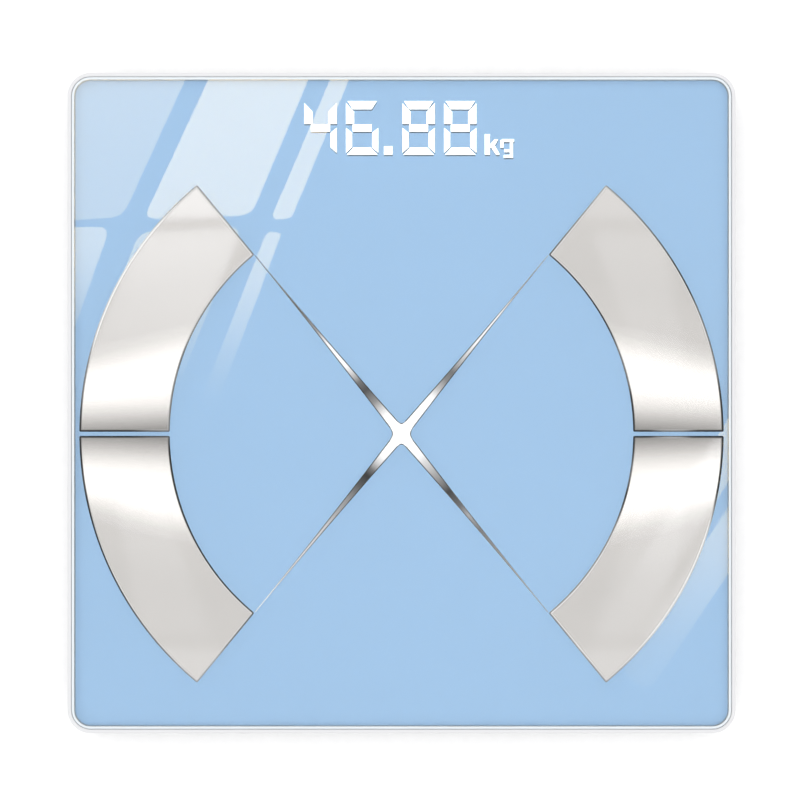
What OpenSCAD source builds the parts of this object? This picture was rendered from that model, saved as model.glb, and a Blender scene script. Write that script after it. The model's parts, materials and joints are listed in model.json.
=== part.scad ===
// Digital bathroom scale with a glass platform, four steel foot electrodes and a lit display.
// Millimetres. The origin is on the floor under the middle, +Z is up and +Y points to the display end.

/* [Platform] */
// Overall width, left to right
scale_w = 260; // [232:1:320]
// Overall depth, front to back
scale_d = 257; // [214:1:320]
// Corner radius seen from above
corner_r = 9; // [7:0.5:14]
// Thickness of the glass
glass_t = 5; // [4:0.5:8]
// Chamfer round the top of the glass
glass_bevel = 1; // [0.4:0.1:2]
// Gap between the glass and the tray lip
glass_gap = 0.2; // [0.1:0.05:0.5]
// Thickness of the printed film under the glass
film_t = 0.2; // [0.1:0.05:0.4]
// Clear edge of glass left round the print
film_edge = 1.15; // [0.5:0.05:4]
// Thickness of the double-sided tape under the film
tape_t = 0.8; // [0.5:0.1:1.5]

/* [Electrodes] */
// Distance from the side of the scale to an electrode
electrode_margin = 4.6; // [3:0.1:12]
// Width of an electrode's band
band_w = 35.2; // [20:0.2:42]
// Angle from the line between toe and heel to the band's far end
band_angle = 50.6; // [40:0.1:55]
// Gap between a toe electrode and its heel electrode
toe_heel_gap = 1.6; // [0.8:0.1:6]
// How far the pattern's middle lies in front of the scale's middle
pattern_shift = 12; // [4:0.5:14]
// Thickness of the stainless sheet
steel_t = 0.4; // [0.2:0.05:0.8]
// Rounding of the electrodes' corners
steel_corner_r = 0.6; // [0.5:0.1:3]
// Thickness of the adhesive under the sheet
glue_t = 0.1; // [0.05:0.05:0.3]
// Distance of the adhesive from the sheet's edge
glue_inset = 0.6; // [0.3:0.1:2]
// Angle to the contact stud
stud_angle = 12; // [8:1:16]
// Radius of the contact stud
stud_r = 1.5; // [1:0.25:2]
// Radius of the hole for the stud in the glass
glass_hole_r = 3; // [2.5:0.25:4]
// Width of the cross trim's arms at the middle
cross_w = 4.4; // [2:0.1:6]
// Width of the arms at the tips
cross_tip_w = 0.3; // [0.2:0.1:1]
// How quickly the arms narrow
cross_taper = 1.6; // [1:0.1:3]
// Radius of the blend where the arms cross
cross_hub_r = 3.5; // [2:0.1:5]
// Gap between a tip and the electrodes
cross_gap = 0.4; // [0.3:0.1:4]

/* [Display] */
// Width of a digit
digit_w = 12.6; // [10:0.1:16]
// Height of a digit
digit_h = 20.9; // [17:0.1:26]
// Space between two digits
digit_space = 3.6; // [2:0.1:5]
// Extra space round the decimal point
point_space = 5.8; // [4.6:0.1:8]
// Side of the decimal point
point_side = 3.3; // [2:0.1:4]
// Space between the second digit and the decimal point
point_gap = 2.2; // [1.5:0.1:3]
// Space between the last digit and the unit sign
unit_space = 3.25; // [2:0.25:6]
// Sideways shift of the display
display_x = 3; // [-5:0.5:5]
// Thickness of a digit's top bar and upper side bars
bar_t = 3.2; // [2.6:0.1:3.6]
// Thickness of a digit's middle and bottom bars
low_bar_t = 2.8; // [2:0.1:3]
// Thickness of a digit's lower side bars
low_side_t = 2.4; // [2:0.1:2.6]
// Length of the board in front of the display block
board_strip = 10.25; // [9:0.25:14]
// Thickness of the main board
board_t = 1.6; // [1:0.2:2]

/* [Tray] */
// Thickness of the tray floor
floor_t = 2; // [1.5:0.1:3]
// Thickness of the tray wall below the glass
wall_t = 2.8; // [2.2:0.1:4]
// Thickness of the lip round the glass
lip_t = 1.4; // [1:0.1:2]
// How far the glass stands above the lip
lip_drop = 1.2; // [0.5:0.1:2.5]
// Thickness of the ribs
rib_t = 1.5; // [1:0.1:2.5]
// Distance of the perimeter rib from the outside
rim_rib_inset = 7.6; // [6.1:0.5:10.1]

/* [Feet] */
// Distance of a foot's middle from the two sides
foot_inset = 34; // [34:0.5:45]
// Radius of a foot
foot_r = 19; // [16:0.5:23]
// Width of the flange that holds a foot in
foot_flange_w = 2; // [1.5:0.1:2.5]
// Thickness of that flange
foot_flange_t = 1.8; // [1:0.1:2]
// Radius of the boss that presses on the load cell
foot_boss_r = 6; // [4:0.5:8]
// How far a foot stands out of the tray
foot_proud = 2; // [1:0.5:5]
// How far a foot drops when the scale is lifted
foot_float = 0.8; // [0.3:0.1:1.2]
// Gap round a foot
foot_gap = 0.25; // [0.15:0.05:0.5]
// Radius of a rubber pad
pad_r = 15; // [10:0.5:17]
// How far a pad stands out of its foot
pad_proud = 2; // [1:0.5:4]
// Depth of the seat for the pad
pad_seat = 0.8; // [0.4:0.1:1.2]

/* [Load cells] */
// Side of a load cell's plate
cell_side = 34; // [30:0.5:41]
// Thickness of the plate
cell_t = 2; // [1.5:0.1:3]
// Width of the plate's frame
cell_frame_w = 5; // [4:0.5:7]
// Width of the tongue that bends
cell_tongue_w = 9; // [7:0.5:12]
// Length of the head that the foot presses
cell_head_l = 16; // [14:0.5:19]
// Width of that head
cell_head_w = 7; // [5:0.5:9]
// Free height over a load cell
cell_room = 1.8; // [1.4:0.1:3]
// Radius of the wires' insulation
wire_r = 0.5; // [0.4:0.05:0.5]

/* [Batteries] */
// Diameter of a battery
battery_d = 10.5; // [9:0.1:14.5]
// Length of a battery
battery_l = 44.5; // [38:0.5:54]
// Length of a contact spring
spring_l = 5.2; // [4:0.1:7]
// How far the battery door reaches past the bay, to the front and to the back
door_border = 5.2; // [5:0.1:8]
// Thickness of the battery door
door_t = 1.6; // [1.2:0.1:2.5]

/* [Unit button] */
// Radius of the unit button
button_r = 4; // [3:0.25:5]
// Travel of the unit button
button_travel = 0.5; // [0.2:0.1:0.8]

/* [Hidden] */
$fn = 64;
left = -1;
right = 1;
front = -1;
back = 1;
eps = 0.01;

// heights, from the floor up
tray_z = pad_proud + foot_proud;
floor_z = tray_z + floor_t;
battery_gap = 0.4;
bay_top_gap = 0.3;
bay_roof_t = 1.2;
battery_z = tray_z + door_t + battery_gap + battery_d / 2;
bay_roof_z = battery_z + battery_d / 2 + bay_top_gap;
seat_z = bay_roof_z + bay_roof_t;
film_z = seat_z + tape_t;
glass_z = film_z + film_t;
glass_top = glass_z + glass_t;
steel_z = glass_top + glue_t;
lip_z = glass_top - lip_drop;

// plan of the tray and the glass
recess_w = scale_w - 2 * lip_t;
recess_d = scale_d - 2 * lip_t;
recess_r = corner_r - lip_t;
glass_w = recess_w - 2 * glass_gap;
glass_d = recess_d - 2 * glass_gap;
glass_r = recess_r - glass_gap;
inner_w = scale_w - 2 * wall_t;
inner_d = scale_d - 2 * wall_t;
inner_r = corner_r - wall_t;
// inset and height of the tray's rounded lower edge
tray_edge = [[3.2, 0], [1.2, 1.4], [0.3, 4], [0, 7]];
lip_chamfer = 0.3;
// distance of the tape from the edge of the print, so that it doesn't show
tape_setback = 0.3;

// electrodes
pattern_y = -pattern_shift;
room_w = scale_w / 2 - electrode_margin;
room_d = (scale_d / 2 - pattern_shift - electrode_margin) / sin(band_angle);
band_r1 = min(room_w, room_d);
band_r0 = band_r1 - band_w;
stud_at = (band_r0 + band_r1) / 2;
stud_x = stud_at * cos(stud_angle);
stud_dy = stud_at * sin(stud_angle);
stud_tip = 3.6;
cross_reach = band_r0 - cross_gap;

// lugs and nuts under the glass
lug_t = 0.4;
lug_r = 4;
lug_crimp_r = 0.9;
lug_tail = 10;
nut_h = 2.4;
nut_af = 5.5;
thread_gap = 0.05;
lug_z = film_z - lug_t;
nut_z = lug_z - nut_h;

// feet, load cells and retainers
foot_x = scale_w / 2 - foot_inset;
foot_y = scale_d / 2 - foot_inset;
foot_wall = 2;
foot_floor_t = 2.4;
retainer_lip_t = 1.4;
retainer_play = 0.3;
cell_corner_r = 2;
cell_reach = (cell_side / 2 - cell_corner_r) * sqrt(2) + cell_corner_r;
// how far a load cell's corners reach over the retainer, at the least
cell_lap = 1.95;
finger_lap = 1.4;
finger_w = 2.4;
retainer_bore_r = max(foot_r + foot_flange_w + retainer_play, cell_reach - cell_lap);
retainer_wall = 2.2;
retainer_r = retainer_bore_r + retainer_wall;
well_gap = 0.2;
well_r = retainer_r + well_gap;
well_wall = 1.8;
well_r1 = well_r + well_wall;
well_roof_t = 2;
cell_top = seat_z - well_roof_t - cell_room;
cell_z = cell_top - cell_t;
flange_z = tray_z + retainer_lip_t + foot_float;
ear_at = retainer_r + 5;
ear_r = 3.6;
ear_t = 2;
ear_z = tray_z + 1.6;
ear_angles = [135, 255, 15];
ear_wall = 1.4;
screw_r = 1.1;
screw_hole_r = screw_r + thread_gap;
screw_pass_r = 1.4;
screw_head_r = 2.3;
screw_head_h = 1.4;
screw_l = 7.4;

// display
group_w = 4 * digit_w + 3 * digit_space + point_space + unit_space + 11.4;
group_x = display_x - group_w / 2;
digit_step = digit_w + digit_space;
digit_xs = [for (i = [0:3]) group_x + digit_w / 2 + i * digit_step + (i > 1 ? point_space : 0)];
point_x = digit_xs[1] + digit_w / 2 + point_gap;
unit_x = digit_xs[3] + digit_w / 2 + unit_space;
block_back_edge = 1.65;
block_front_edge = 3.45;
block_side_edge = 1.15;
board_edge_gap = 2.7;
block_setback = 3.75;
board_back = inner_d / 2 - board_edge_gap;
block_back = board_back - block_setback;
digit_y = block_back - block_back_edge - digit_h;
block_front = digit_y - block_front_edge;
block_w = group_w + 2 * block_side_edge;
board_w = block_w + 4;
board_front = block_front - board_strip;
board_z = floor_z + 4.2;
board_top = board_z + board_t;
board_screw_x = board_w / 2 - 4;
board_screw_y = board_front + 4;
boss_r = 3;
clip_x = 30;
pipe_z = board_top + 1;
half_w = digit_w / 2;
// outlines of the seven bars, about the middle of a digit's foot
bars = [
    [[-half_w + 0.6, digit_h], [half_w - 0.6, digit_h],
        [half_w - 2.6, digit_h - bar_t], [-half_w + 2.6, digit_h - bar_t]],
    [[-half_w, digit_h - 0.8], [-half_w + bar_t, digit_h - bar_t - 1],
        [-half_w + bar_t, digit_h * 0.575], [-half_w, digit_h * 0.575]],
    [[half_w, digit_h - 0.8], [half_w - bar_t, digit_h - bar_t - 1],
        [half_w - bar_t, digit_h * 0.575], [half_w, digit_h * 0.575]],
    [[-half_w + 2.6, digit_h * 0.565], [half_w - 2.6, digit_h * 0.565],
        [half_w - 2.6, digit_h * 0.565 - low_bar_t], [-half_w + 2.6, digit_h * 0.565 - low_bar_t]],
    [[-half_w, digit_h / 2], [-half_w + low_side_t, digit_h / 2 - 1.9],
        [-half_w + low_side_t, low_bar_t + 0.1], [-half_w, 0.7]],
    [[half_w, digit_h / 2], [half_w - low_side_t, digit_h / 2 - 1.9],
        [half_w - low_side_t, low_bar_t + 0.1], [half_w, 0.7]],
    [[-half_w + 0.3, 0], [half_w - 0.3, 0],
        [half_w - 2.9, low_bar_t], [-half_w + 2.9, low_bar_t]]
];
// which bars are lit in each digit, so that it reads 46.88
lit_bars = [[1, 2, 3, 5], [0, 1, 3, 4, 5, 6], [0, 1, 2, 3, 4, 5, 6], [0, 1, 2, 3, 4, 5, 6]];

// battery bay and its door
battery_count = 3;
battery_pitch = battery_d + 0.7;
contact_t = 0.4;
bay_l = battery_l + spring_l + 2 * contact_t;
bay_w = battery_count * battery_pitch;
bay_wall = 1.75;
door_w = bay_l + 7.5;
door_d = bay_w + 2 * door_border;
bay_y = board_front - 31 - door_d / 2;
door_gap = 0.3;
bay_frame_w = 4;
bay_frame_h = 4;
knuckle_r = 1.5;
pin_r = 1;
pin_l = 2;
pin_gap = 0.05;
hinge_y = bay_y - door_d / 2 + knuckle_r;
hinge_z = tray_z + knuckle_r;
tab_z = battery_z + 0.75;
tab_l = 4.75;
latch_w = 12;
latch_l = 1.5;
spring_wire_r = 0.35;
spring_turns = 4;

// unit button and its switch
button_x = display_x - 33;
button_y = board_front + 15;
button_gap = 0.3;
button_flange = 1.4;
button_flange_t = 1;
button_proud = 0.4;
switch_side = 6;
switch_h = 1.8;
plunger_r = 1.7;

// ribs
rib_x = foot_x - well_r1 - 5;
rib_end_y = board_front - 16;
bay_rib_gap = 13.2;
rib_ys = [bay_y - bay_w / 2 - bay_rib_gap, -scale_d * 0.175, -scale_d * 0.29];

// wires run in lanes on the tray floor, one wire pitch apart
wire_pitch = 1.3;
wire_z = floor_z + wire_r + 0.05;
gauge_z = cell_top + 0.7;
pin_z = board_top + 1.8;
rise_y = board_front - 2;
pin_y = board_front + 1;
connector_d = 4.5;
connector_h = 3.6;
// middle and width of each connector on the board
connectors = [[-28, 5], [28, 5], [-23, 3.6], [23, 3.6], [-18, 5], [18, 5], [10.05, 3.6]];

function unit(v) = v / norm(v);

// lane for wires that run front to back beside a rib, counted from the rib
function lane_x(i) = -(rib_x - 2 - wire_pitch * i);

// lane for wires that run left to right in front of the board, counted from the front
function lane_y(i) = board_front - 13.5 + wire_pitch * i;

// the last stretch of a wire, up from its lane and into a connector
function to_pin(x, y) = [[x, y, wire_z], [x, rise_y, wire_z], [x, rise_y, pin_z], [x, pin_y, pin_z]];

// the first stretch of a load cell's wire, from the gauge through the well's wall and down
function from_cell(end, k, drop) = let (y = end * foot_y) [
    [-foot_x - 4, y - end * (0.9 + wire_pitch * k), gauge_z],
    [-foot_x + 4, y - end * (0.9 + wire_pitch * k), gauge_z],
    [-foot_x + 16, y - end * (4.5 + wire_pitch * k), gauge_z],
    [-foot_x + drop, y - end * (4.5 + wire_pitch * k), gauge_z],
    [-foot_x + drop, y - end * (4.5 + wire_pitch * k), wire_z]
];

// the whole route of wire k from the back left load cell
function back_route(k) = let (drop = well_r1 + 2.1 + wire_pitch * (2 - k)) concat(
    from_cell(back, k, drop),
    [[-foot_x + drop, lane_y(7 - k), wire_z]],
    to_pin(-28 + wire_pitch * (k - 1), lane_y(7 - k))
);

// the whole route of wire k from the front left load cell
function front_route(k) = concat(
    from_cell(front, k, well_r1 + 2.1),
    [
        [lane_x(4 - k), -foot_y + 4.5 + wire_pitch * k, wire_z],
        [lane_x(4 - k), lane_y(k), wire_z]
    ],
    to_pin(-18 + wire_pitch * (1 - k), lane_y(k))
);

// the route of the lead from a left electrode's lug
function lead_route(y, lane, row, x) = concat(
    [
        [-stud_x + lug_tail, y, lug_z - lug_crimp_r],
        [-stud_x + lug_tail + 2.5, y, lug_z - lug_crimp_r],
        [-stud_x + lug_tail + 2.5, y, wire_z],
        [lane_x(lane), y, wire_z],
        [lane_x(lane), lane_y(row), wire_z]
    ],
    to_pin(x, lane_y(row))
);

// the route of a battery lead
function battery_route(side, x) = let (out = side * (bay_l / 2 + tab_l), y = lane_y(0) - 2.6) [
    [out, bay_y + side * battery_pitch, tab_z + contact_t / 2],
    [out + side * 1.6, bay_y + side * battery_pitch, tab_z + contact_t / 2],
    [out + side * 1.6, y, tab_z + contact_t / 2],
    [x, y, tab_z + contact_t / 2],
    [x, rise_y, tab_z + contact_t / 2],
    [x, rise_y, pin_z],
    [x, pin_y, pin_z]
];

// a route with each inner corner cut back by r and given a point between
function softened(p, r) = concat(
    [p[0]],
    [
        for (i = [1:len(p) - 2])
            let (a = unit(p[i] - p[i - 1]), b = unit(p[i + 1] - p[i]))
                each (norm(a - b) < eps ? [p[i]] : [p[i] - a * r, p[i] + (b - a) * r * 0.3, p[i] + b * r])
    ],
    [p[len(p) - 1]]
);

// direction of a route at each of its points
function headings(p) = [
    for (i = [0:len(p) - 1])
        i == 0 ? unit(p[1] - p[0])
            : i == len(p) - 1 ? unit(p[i] - p[i - 1])
            : unit(unit(p[i] - p[i - 1]) + unit(p[i + 1] - p[i]))
];

// a side direction carried along the route without twisting
function sides_of(t) = [
    for (i = 0, n = unit(cross(t[0], [0.3, 0.2, 1])); i < len(t);
            i = i + 1, n = i < len(t) ? unit(n - (n * t[i]) * t[i]) : n) n
];

module tube(route, r, sides = 8) {
    t = headings(route);
    n = sides_of(t);
    last = len(route) - 1;
    points = [
        for (i = [0:last], j = [0:sides - 1])
            let (a = 360 * j / sides) route[i] + r * (cos(a) * n[i] + sin(a) * cross(t[i], n[i]))
    ];
    walls = [
        for (i = [0:last - 1], j = [0:sides - 1])
            let (k = (j + 1) % sides)
                [i * sides + j, (i + 1) * sides + j, (i + 1) * sides + k, i * sides + k]
    ];
    ends = [
        [for (j = [0:sides - 1]) j],
        [for (j = [sides - 1:-1:0]) last * sides + j]
    ];
    polyhedron(points, concat(walls, ends), convexity = 10);
}

module wire(route) {
    tube(softened(route, 1), wire_r);
}

module left_and_right() {
    children();
    mirror([1, 0, 0]) children();
}

// local frame of a foot: +X points inwards and +Y away from the scale's middle
module at_foot(side, end) {
    translate([side * foot_x, end * foot_y, 0])
        mirror([side == right ? 1 : 0, 0, 0])
            mirror([0, end == front ? 1 : 0, 0])
                children();
}

module at_feet() {
    for (side = [left, right], end = [front, back])
        at_foot(side, end) children();
}

module at_ears() {
    for (a = ear_angles)
        rotate([0, 0, a]) children();
}

// rounded rectangle about the origin
module rounded(w, d, r) {
    square([w - 2 * r, d], center = true);
    square([w, d - 2 * r], center = true);
    for (x = [-1, 1], y = [-1, 1])
        translate([x * (w / 2 - r), y * (d / 2 - r)]) circle(r);
}

// slab with rounded corners, whose edge follows [inset, height] pairs from the bottom up
module edged_slab(w, d, r, edge) {
    top = edge[len(edge) - 1][1];
    for (x = [-1, 1], y = [-1, 1])
        translate([x * (w / 2 - r), y * (d / 2 - r), 0])
            rotate_extrude()
                polygon(concat([[0, edge[0][1]]], [for (e = edge) [r - e[0], e[1]]], [[0, top]]));
    rotate([90, 0, 90])
        linear_extrude(w - 2 * r, center = true) both_ways(d / 2, edge);
    rotate([90, 0, 0])
        linear_extrude(d - 2 * r, center = true) both_ways(w / 2, edge);
}

module both_ways(half, edge) {
    count = len(edge);
    polygon(concat(
        [for (e = edge) [half - e[0], e[1]]],
        [for (i = [count - 1:-1:0]) [edge[i][0] - half, edge[i][1]]]
    ));
}

module slab(z0, z1) {
    translate([0, 0, z0]) linear_extrude(z1 - z0) children();
}

module drum(r, z0, z1) {
    translate([0, 0, z0]) cylinder(z1 - z0, r, r);
}

// ---- the platform ----

module at_studs() {
    for (side = [left, right], end = [front, back])
        translate([side * stud_x, pattern_y + end * stud_dy, 0]) children();
}

module glass_platform() {
    color([0.86, 0.93, 0.97, 0.4])
        difference() {
            edged_slab(glass_w, glass_d, glass_r, [
                [0, glass_z], [0, glass_top - glass_bevel], [glass_bevel, glass_top]
            ]);
            at_studs() drum(glass_hole_r, glass_z - 1, glass_top + 1);
        }
}

module lit_outline() {
    for (i = [0:3], b = lit_bars[i])
        translate([digit_xs[i], digit_y]) polygon(bars[b]);
    point_outline();
    translate([unit_x, digit_y]) unit_sign();
}

module point_outline() {
    translate([point_x, digit_y]) square(point_side);
}

// the letters k and g, drawn with straight strokes
module unit_sign() {
    polygon([
        [0, 0], [2, 0], [2, 2.9], [2.6, 2.7], [4.4, 0], [5.7, 0], [5.7, 0.4],
        [3.9, 3.6], [5.2, 6], [3.9, 6], [2, 4], [2, 8], [0, 8]
    ]);
    translate([6.1, 2.7]) square([1.2, 3]);
    translate([6.7, 5]) square([4.7, 1.1]);
    translate([9.8, -1.2]) square([1.2, 7]);
    translate([7.6, 1]) square([3, 1.1]);
    translate([7.4, -1.2]) square([3, 1.1]);
}

module print_film() {
    w = glass_w - 2 * film_edge;
    d = glass_d - 2 * film_edge;
    color([0.64, 0.78, 0.92])
        slab(film_z, glass_z)
            difference() {
                rounded(w, d, glass_r - film_edge);
                lit_outline();
                at_studs() circle(stud_r + 0.2);
            }
}

module lit_segments() {
    color("white") slab(film_z, glass_z) lit_outline();
}

// ring between two radii, cut to the angles from a0 to a1
module arc_band(r0, r1, a0, a1) {
    far = r1 / cos((a1 - a0) / 2) + 1;
    intersection() {
        difference() {
            circle(r1);
            circle(r0);
        }
        polygon([
            [0, 0],
            far * [cos(a0), sin(a0)],
            far * [cos(a1), sin(a1)]
        ]);
    }
}

// outline of the electrode in the quadrant of +X and +Y, drawn in by inset all round
module electrode_outline(inset = 0) {
    c = steel_corner_r;
    r0 = band_r0 + inset;
    r1 = band_r1 - inset;
    cut = toe_heel_gap / 2 + inset;
    mid = (r0 + r1) / 2;
    far = 2 * r1;
    start0 = asin((cut + c) / (r0 + c));
    start1 = asin((cut + c) / (r1 - c));
    end0 = band_angle - asin((inset + c) / (r0 + c));
    end1 = band_angle - asin((inset + c) / (r1 - c));
    // the end cut, moved in by inset
    shift = inset / sin(band_angle);
    arc_band(r0, mid, start0, end0);
    arc_band(mid, r1, start1, end1);
    intersection() {
        difference() {
            circle(r1 - c);
            circle(r0 + c);
        }
        polygon([
            [shift + cut / tan(band_angle), cut],
            [far, cut],
            [far, far * tan(band_angle)],
            [shift + far, far * tan(band_angle)]
        ]);
    }
    for (p = [[r0 + c, start0], [r0 + c, end0], [r1 - c, start1], [r1 - c, end1]])
        translate(p[0] * [cos(p[1]), sin(p[1])]) circle(c);
}

module at_electrode(side, end) {
    translate([0, pattern_y, 0])
        mirror([side == left ? 1 : 0, 0, 0])
            mirror([0, end == front ? 1 : 0, 0])
                children();
}

module electrode(side, end) {
    color([0.8, 0.79, 0.77])
        at_electrode(side, end) {
            slab(steel_z, steel_z + steel_t) electrode_outline();
            translate([stud_x, stud_dy, 0]) drum(stud_r, lug_z - stud_tip, steel_z + steel_t / 2);
        }
}

function arm_half(s) = cross_tip_w / 2 + (cross_w - cross_tip_w) / 2 * pow(1 - s / cross_reach, cross_taper);

module cross_outline(inset = 0) {
    steps = 15;
    circle(cross_hub_r - inset);
    for (a = [-band_angle, band_angle])
        rotate([0, 0, a])
            polygon([
                for (edge = [-1, 1], i = [-steps:steps])
                    let (s = -edge * cross_reach * i / steps)
                        [s, edge * (arm_half(abs(s)) - inset)]
            ]);
}

module cross_trim() {
    color([0.85, 0.85, 0.86])
        slab(steel_z, steel_z + steel_t)
            translate([0, pattern_y]) cross_outline();
}

module electrode_adhesive() {
    color([0.9, 0.9, 0.86])
        slab(glass_top, steel_z) {
            for (side = [left, right], end = [front, back])
                at_electrode(side, end)
                    difference() {
                        electrode_outline(glue_inset);
                        translate([stud_x, stud_dy]) circle(glass_hole_r);
                    }
            translate([0, pattern_y]) cross_outline(0.1);
        }
}

module electrode_lugs() {
    neck_w = 2.4;
    crimp_l = 4;
    seam_w = 1;
    color([0.75, 0.72, 0.6])
        left_and_right()
            for (end = [front, back])
                translate([-stud_x, pattern_y + end * stud_dy, 0]) {
                    slab(lug_z, film_z)
                        difference() {
                            union() {
                                circle(lug_r);
                                translate([0, -neck_w / 2]) square([lug_tail - seam_w, neck_w]);
                            }
                            circle(stud_r + 0.1);
                        }
                    translate([lug_tail - crimp_l, 0, lug_z - lug_crimp_r])
                        rotate([0, 90, 0]) cylinder(crimp_l, lug_crimp_r, lug_crimp_r);
                    translate([lug_tail - crimp_l, -seam_w / 2, lug_z - lug_crimp_r])
                        cube([crimp_l - seam_w, seam_w, lug_crimp_r + 0.1]);
                }
}

module electrode_nuts() {
    color([0.82, 0.82, 0.82])
        at_studs()
            slab(nut_z, lug_z)
                difference() {
                    circle(nut_af / 2 / cos(30), $fn = 6);
                    circle(stud_r + thread_gap);
                }
}

// ---- the tray ----

module battery_space() {
    translate([-bay_l / 2, bay_y - bay_w / 2, tray_z - 1])
        cube([bay_l, bay_w, bay_roof_z - tray_z + 1]);
}

module rib_lines() {
    ring_w = scale_w - 2 * rim_rib_inset;
    ring_d = scale_d - 2 * rim_rib_inset;
    difference() {
        square([ring_w, ring_d], center = true);
        square([ring_w - 2 * rib_t, ring_d - 2 * rib_t], center = true);
    }
    for (side = [left, right])
        translate([side * rib_x - rib_t / 2, -inner_d / 2 - eps])
            square([rib_t, inner_d / 2 + rib_end_y]);
    for (y = rib_ys)
        translate([-inner_w / 2 - eps, y - rib_t / 2]) square([inner_w + 2 * eps, rib_t]);
    translate([-rib_t / 2, -inner_d / 2 - eps]) square([rib_t, inner_d / 2 + rib_ys[0]]);
}

// room in the ribs for the board, the wire lanes and the wires that cross
module rib_cuts() {
    gate_h = 4;
    gate_w = 5;
    board_room = 1;
    cell_gate_shift = 5.8;
    lane_in = -lane_x(4);
    lanes_w = rib_x - lane_in;
    translate([display_x - board_w / 2 - board_room, rib_end_y, floor_z])
        cube([board_w + 2 * board_room, inner_d / 2 - rib_end_y, seat_z]);
    left_and_right() {
        for (y = rib_ys)
            translate([-rib_x + rib_t / 2 + 0.2, y - rib_t, floor_z]) cube([lanes_w, 2 * rib_t, gate_h]);
        for (y = [-foot_y + cell_gate_shift, pattern_y - stud_dy, pattern_y + stud_dy])
            translate([-rib_x - rib_t, y - gate_w / 2, floor_z]) cube([2 * rib_t, gate_w, gate_h]);
    }
}

module ribs() {
    difference() {
        slab(floor_z - eps, seat_z) rib_lines();
        rib_cuts();
    }
}

module well() {
    drum(well_r1, tray_z, seat_z);
    at_ears() translate([ear_at, 0, 0]) drum(ear_r + 0.2 + ear_wall, tray_z, cell_z + 2);
}

module well_space() {
    wire_slot_w = 5;
    wire_slot_at = -8.3;
    wire_slot_in = 5;
    pocket_w = 2 * (ear_r + 0.2);
    drum(well_r, tray_z - 1, seat_z - well_roof_t);
    at_ears() {
        translate([well_r - 2, -pocket_w / 2, tray_z - 1])
            cube([ear_at - well_r + 2, pocket_w, ear_z + ear_t - tray_z + 1]);
        translate([ear_at, 0, 0]) {
            drum(ear_r + 0.2, tray_z - 1, ear_z + ear_t);
            drum(screw_hole_r, ear_z, ear_z + screw_l + 0.8);
        }
    }
    translate([well_r - wire_slot_in, wire_slot_at, cell_top - 0.3])
        cube([well_wall + wire_slot_in + 1, wire_slot_w, cell_room + 0.1]);
}

module cell_rails() {
    rail_w = 3.5;
    rail_l = 24;
    rail_inset = 0.5;
    for (side = [-1, 1])
        translate([-rail_l / 2, side * (cell_side / 2 - rail_inset - rail_w / 2) - rail_w / 2, cell_top])
            cube([rail_l, rail_w, cell_room + eps]);
}

module board_clip() {
    clip_w = 6;
    clip_t = 2;
    hook_reach = 1.2;
    hook_h = 1.1;
    hook_gap = 0.1;
    clip_gap = 0.2;
    translate([-clip_w / 2, board_back + clip_gap, floor_z - eps])
        cube([clip_w, clip_t, board_top + hook_gap + hook_h - floor_z]);
    translate([-clip_w / 2, board_back - hook_reach, board_top + hook_gap]) cube([clip_w, clip_t, hook_h]);
}

module battery_bay() {
    wall = 2 * bay_wall;
    translate([-(bay_l + wall) / 2, bay_y - (bay_w + wall) / 2, tray_z])
        cube([bay_l + wall, bay_w + wall, seat_z - tray_z]);
    translate([-door_w / 2 - bay_frame_w, bay_y - door_d / 2 - bay_frame_w, tray_z])
        cube([door_w + 2 * bay_frame_w, door_d + 2 * bay_frame_w, bay_frame_h]);
}

module door_space() {
    w = door_w + 2 * door_gap;
    latch_cut = latch_w + 2 * door_gap;
    translate([-w / 2, hinge_y, tray_z - 1]) cube([w, door_d - knuckle_r + door_gap, door_t + 1.1]);
    translate([-w / 2, hinge_y - knuckle_r - door_gap, tray_z - 1])
        cube([w, 2 * (knuckle_r + door_gap), 2 * knuckle_r + 1 + door_gap]);
    translate([0, hinge_y, hinge_z]) rotate([0, 90, 0])
        cylinder(door_w + 2 * pin_l + 0.6, pin_r + pin_gap, pin_r + pin_gap, center = true);
    translate([-latch_cut / 2, bay_y + door_d / 2 - 1, tray_z - 1])
        cube([latch_cut, latch_l + 1 + door_gap, door_t + 1.1]);
    translate([0, bay_y + door_d / 2 + 0.5, 0]) drum(latch_w / 2 + 1.5, tray_z - 1, tray_z + 0.8);
}

module tab_slots() {
    for (side = [left, right])
        translate([side * (bay_l / 2 + bay_wall / 2) - 2, bay_y + side * battery_pitch - 1.8, tab_z - 0.3])
            cube([4, 3.6, 1]);
}

module tray() {
    edge = concat(
        [for (e = tray_edge) [e[0], tray_z + e[1]]],
        [[0, lip_z - lip_chamfer], [lip_chamfer, lip_z]]
    );
    color([0.93, 0.93, 0.94])
        difference() {
            union() {
                difference() {
                    edged_slab(scale_w, scale_d, corner_r, edge);
                    slab(seat_z, lip_z + 1) rounded(recess_w, recess_d, recess_r);
                    slab(floor_z, seat_z + 1) rounded(inner_w, inner_d, inner_r);
                }
                ribs();
                at_feet() well();
                battery_bay();
                for (x = [-board_screw_x, board_screw_x])
                    translate([display_x + x, board_screw_y, 0]) drum(boss_r, floor_z - eps, board_z);
                for (x = [-clip_x, clip_x])
                    translate([display_x + x, 0, 0]) board_clip();
            }
            at_feet() difference() {
                well_space();
                cell_rails();
            }
            battery_space();
            door_space();
            tab_slots();
            for (x = [-board_screw_x, board_screw_x])
                translate([display_x + x, board_screw_y, 0])
                    drum(screw_hole_r, floor_z - 0.5, board_z + 1);
            translate([button_x, button_y, 0]) drum(button_r + button_gap, tray_z - 1, floor_z + 1);
        }
}

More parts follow.
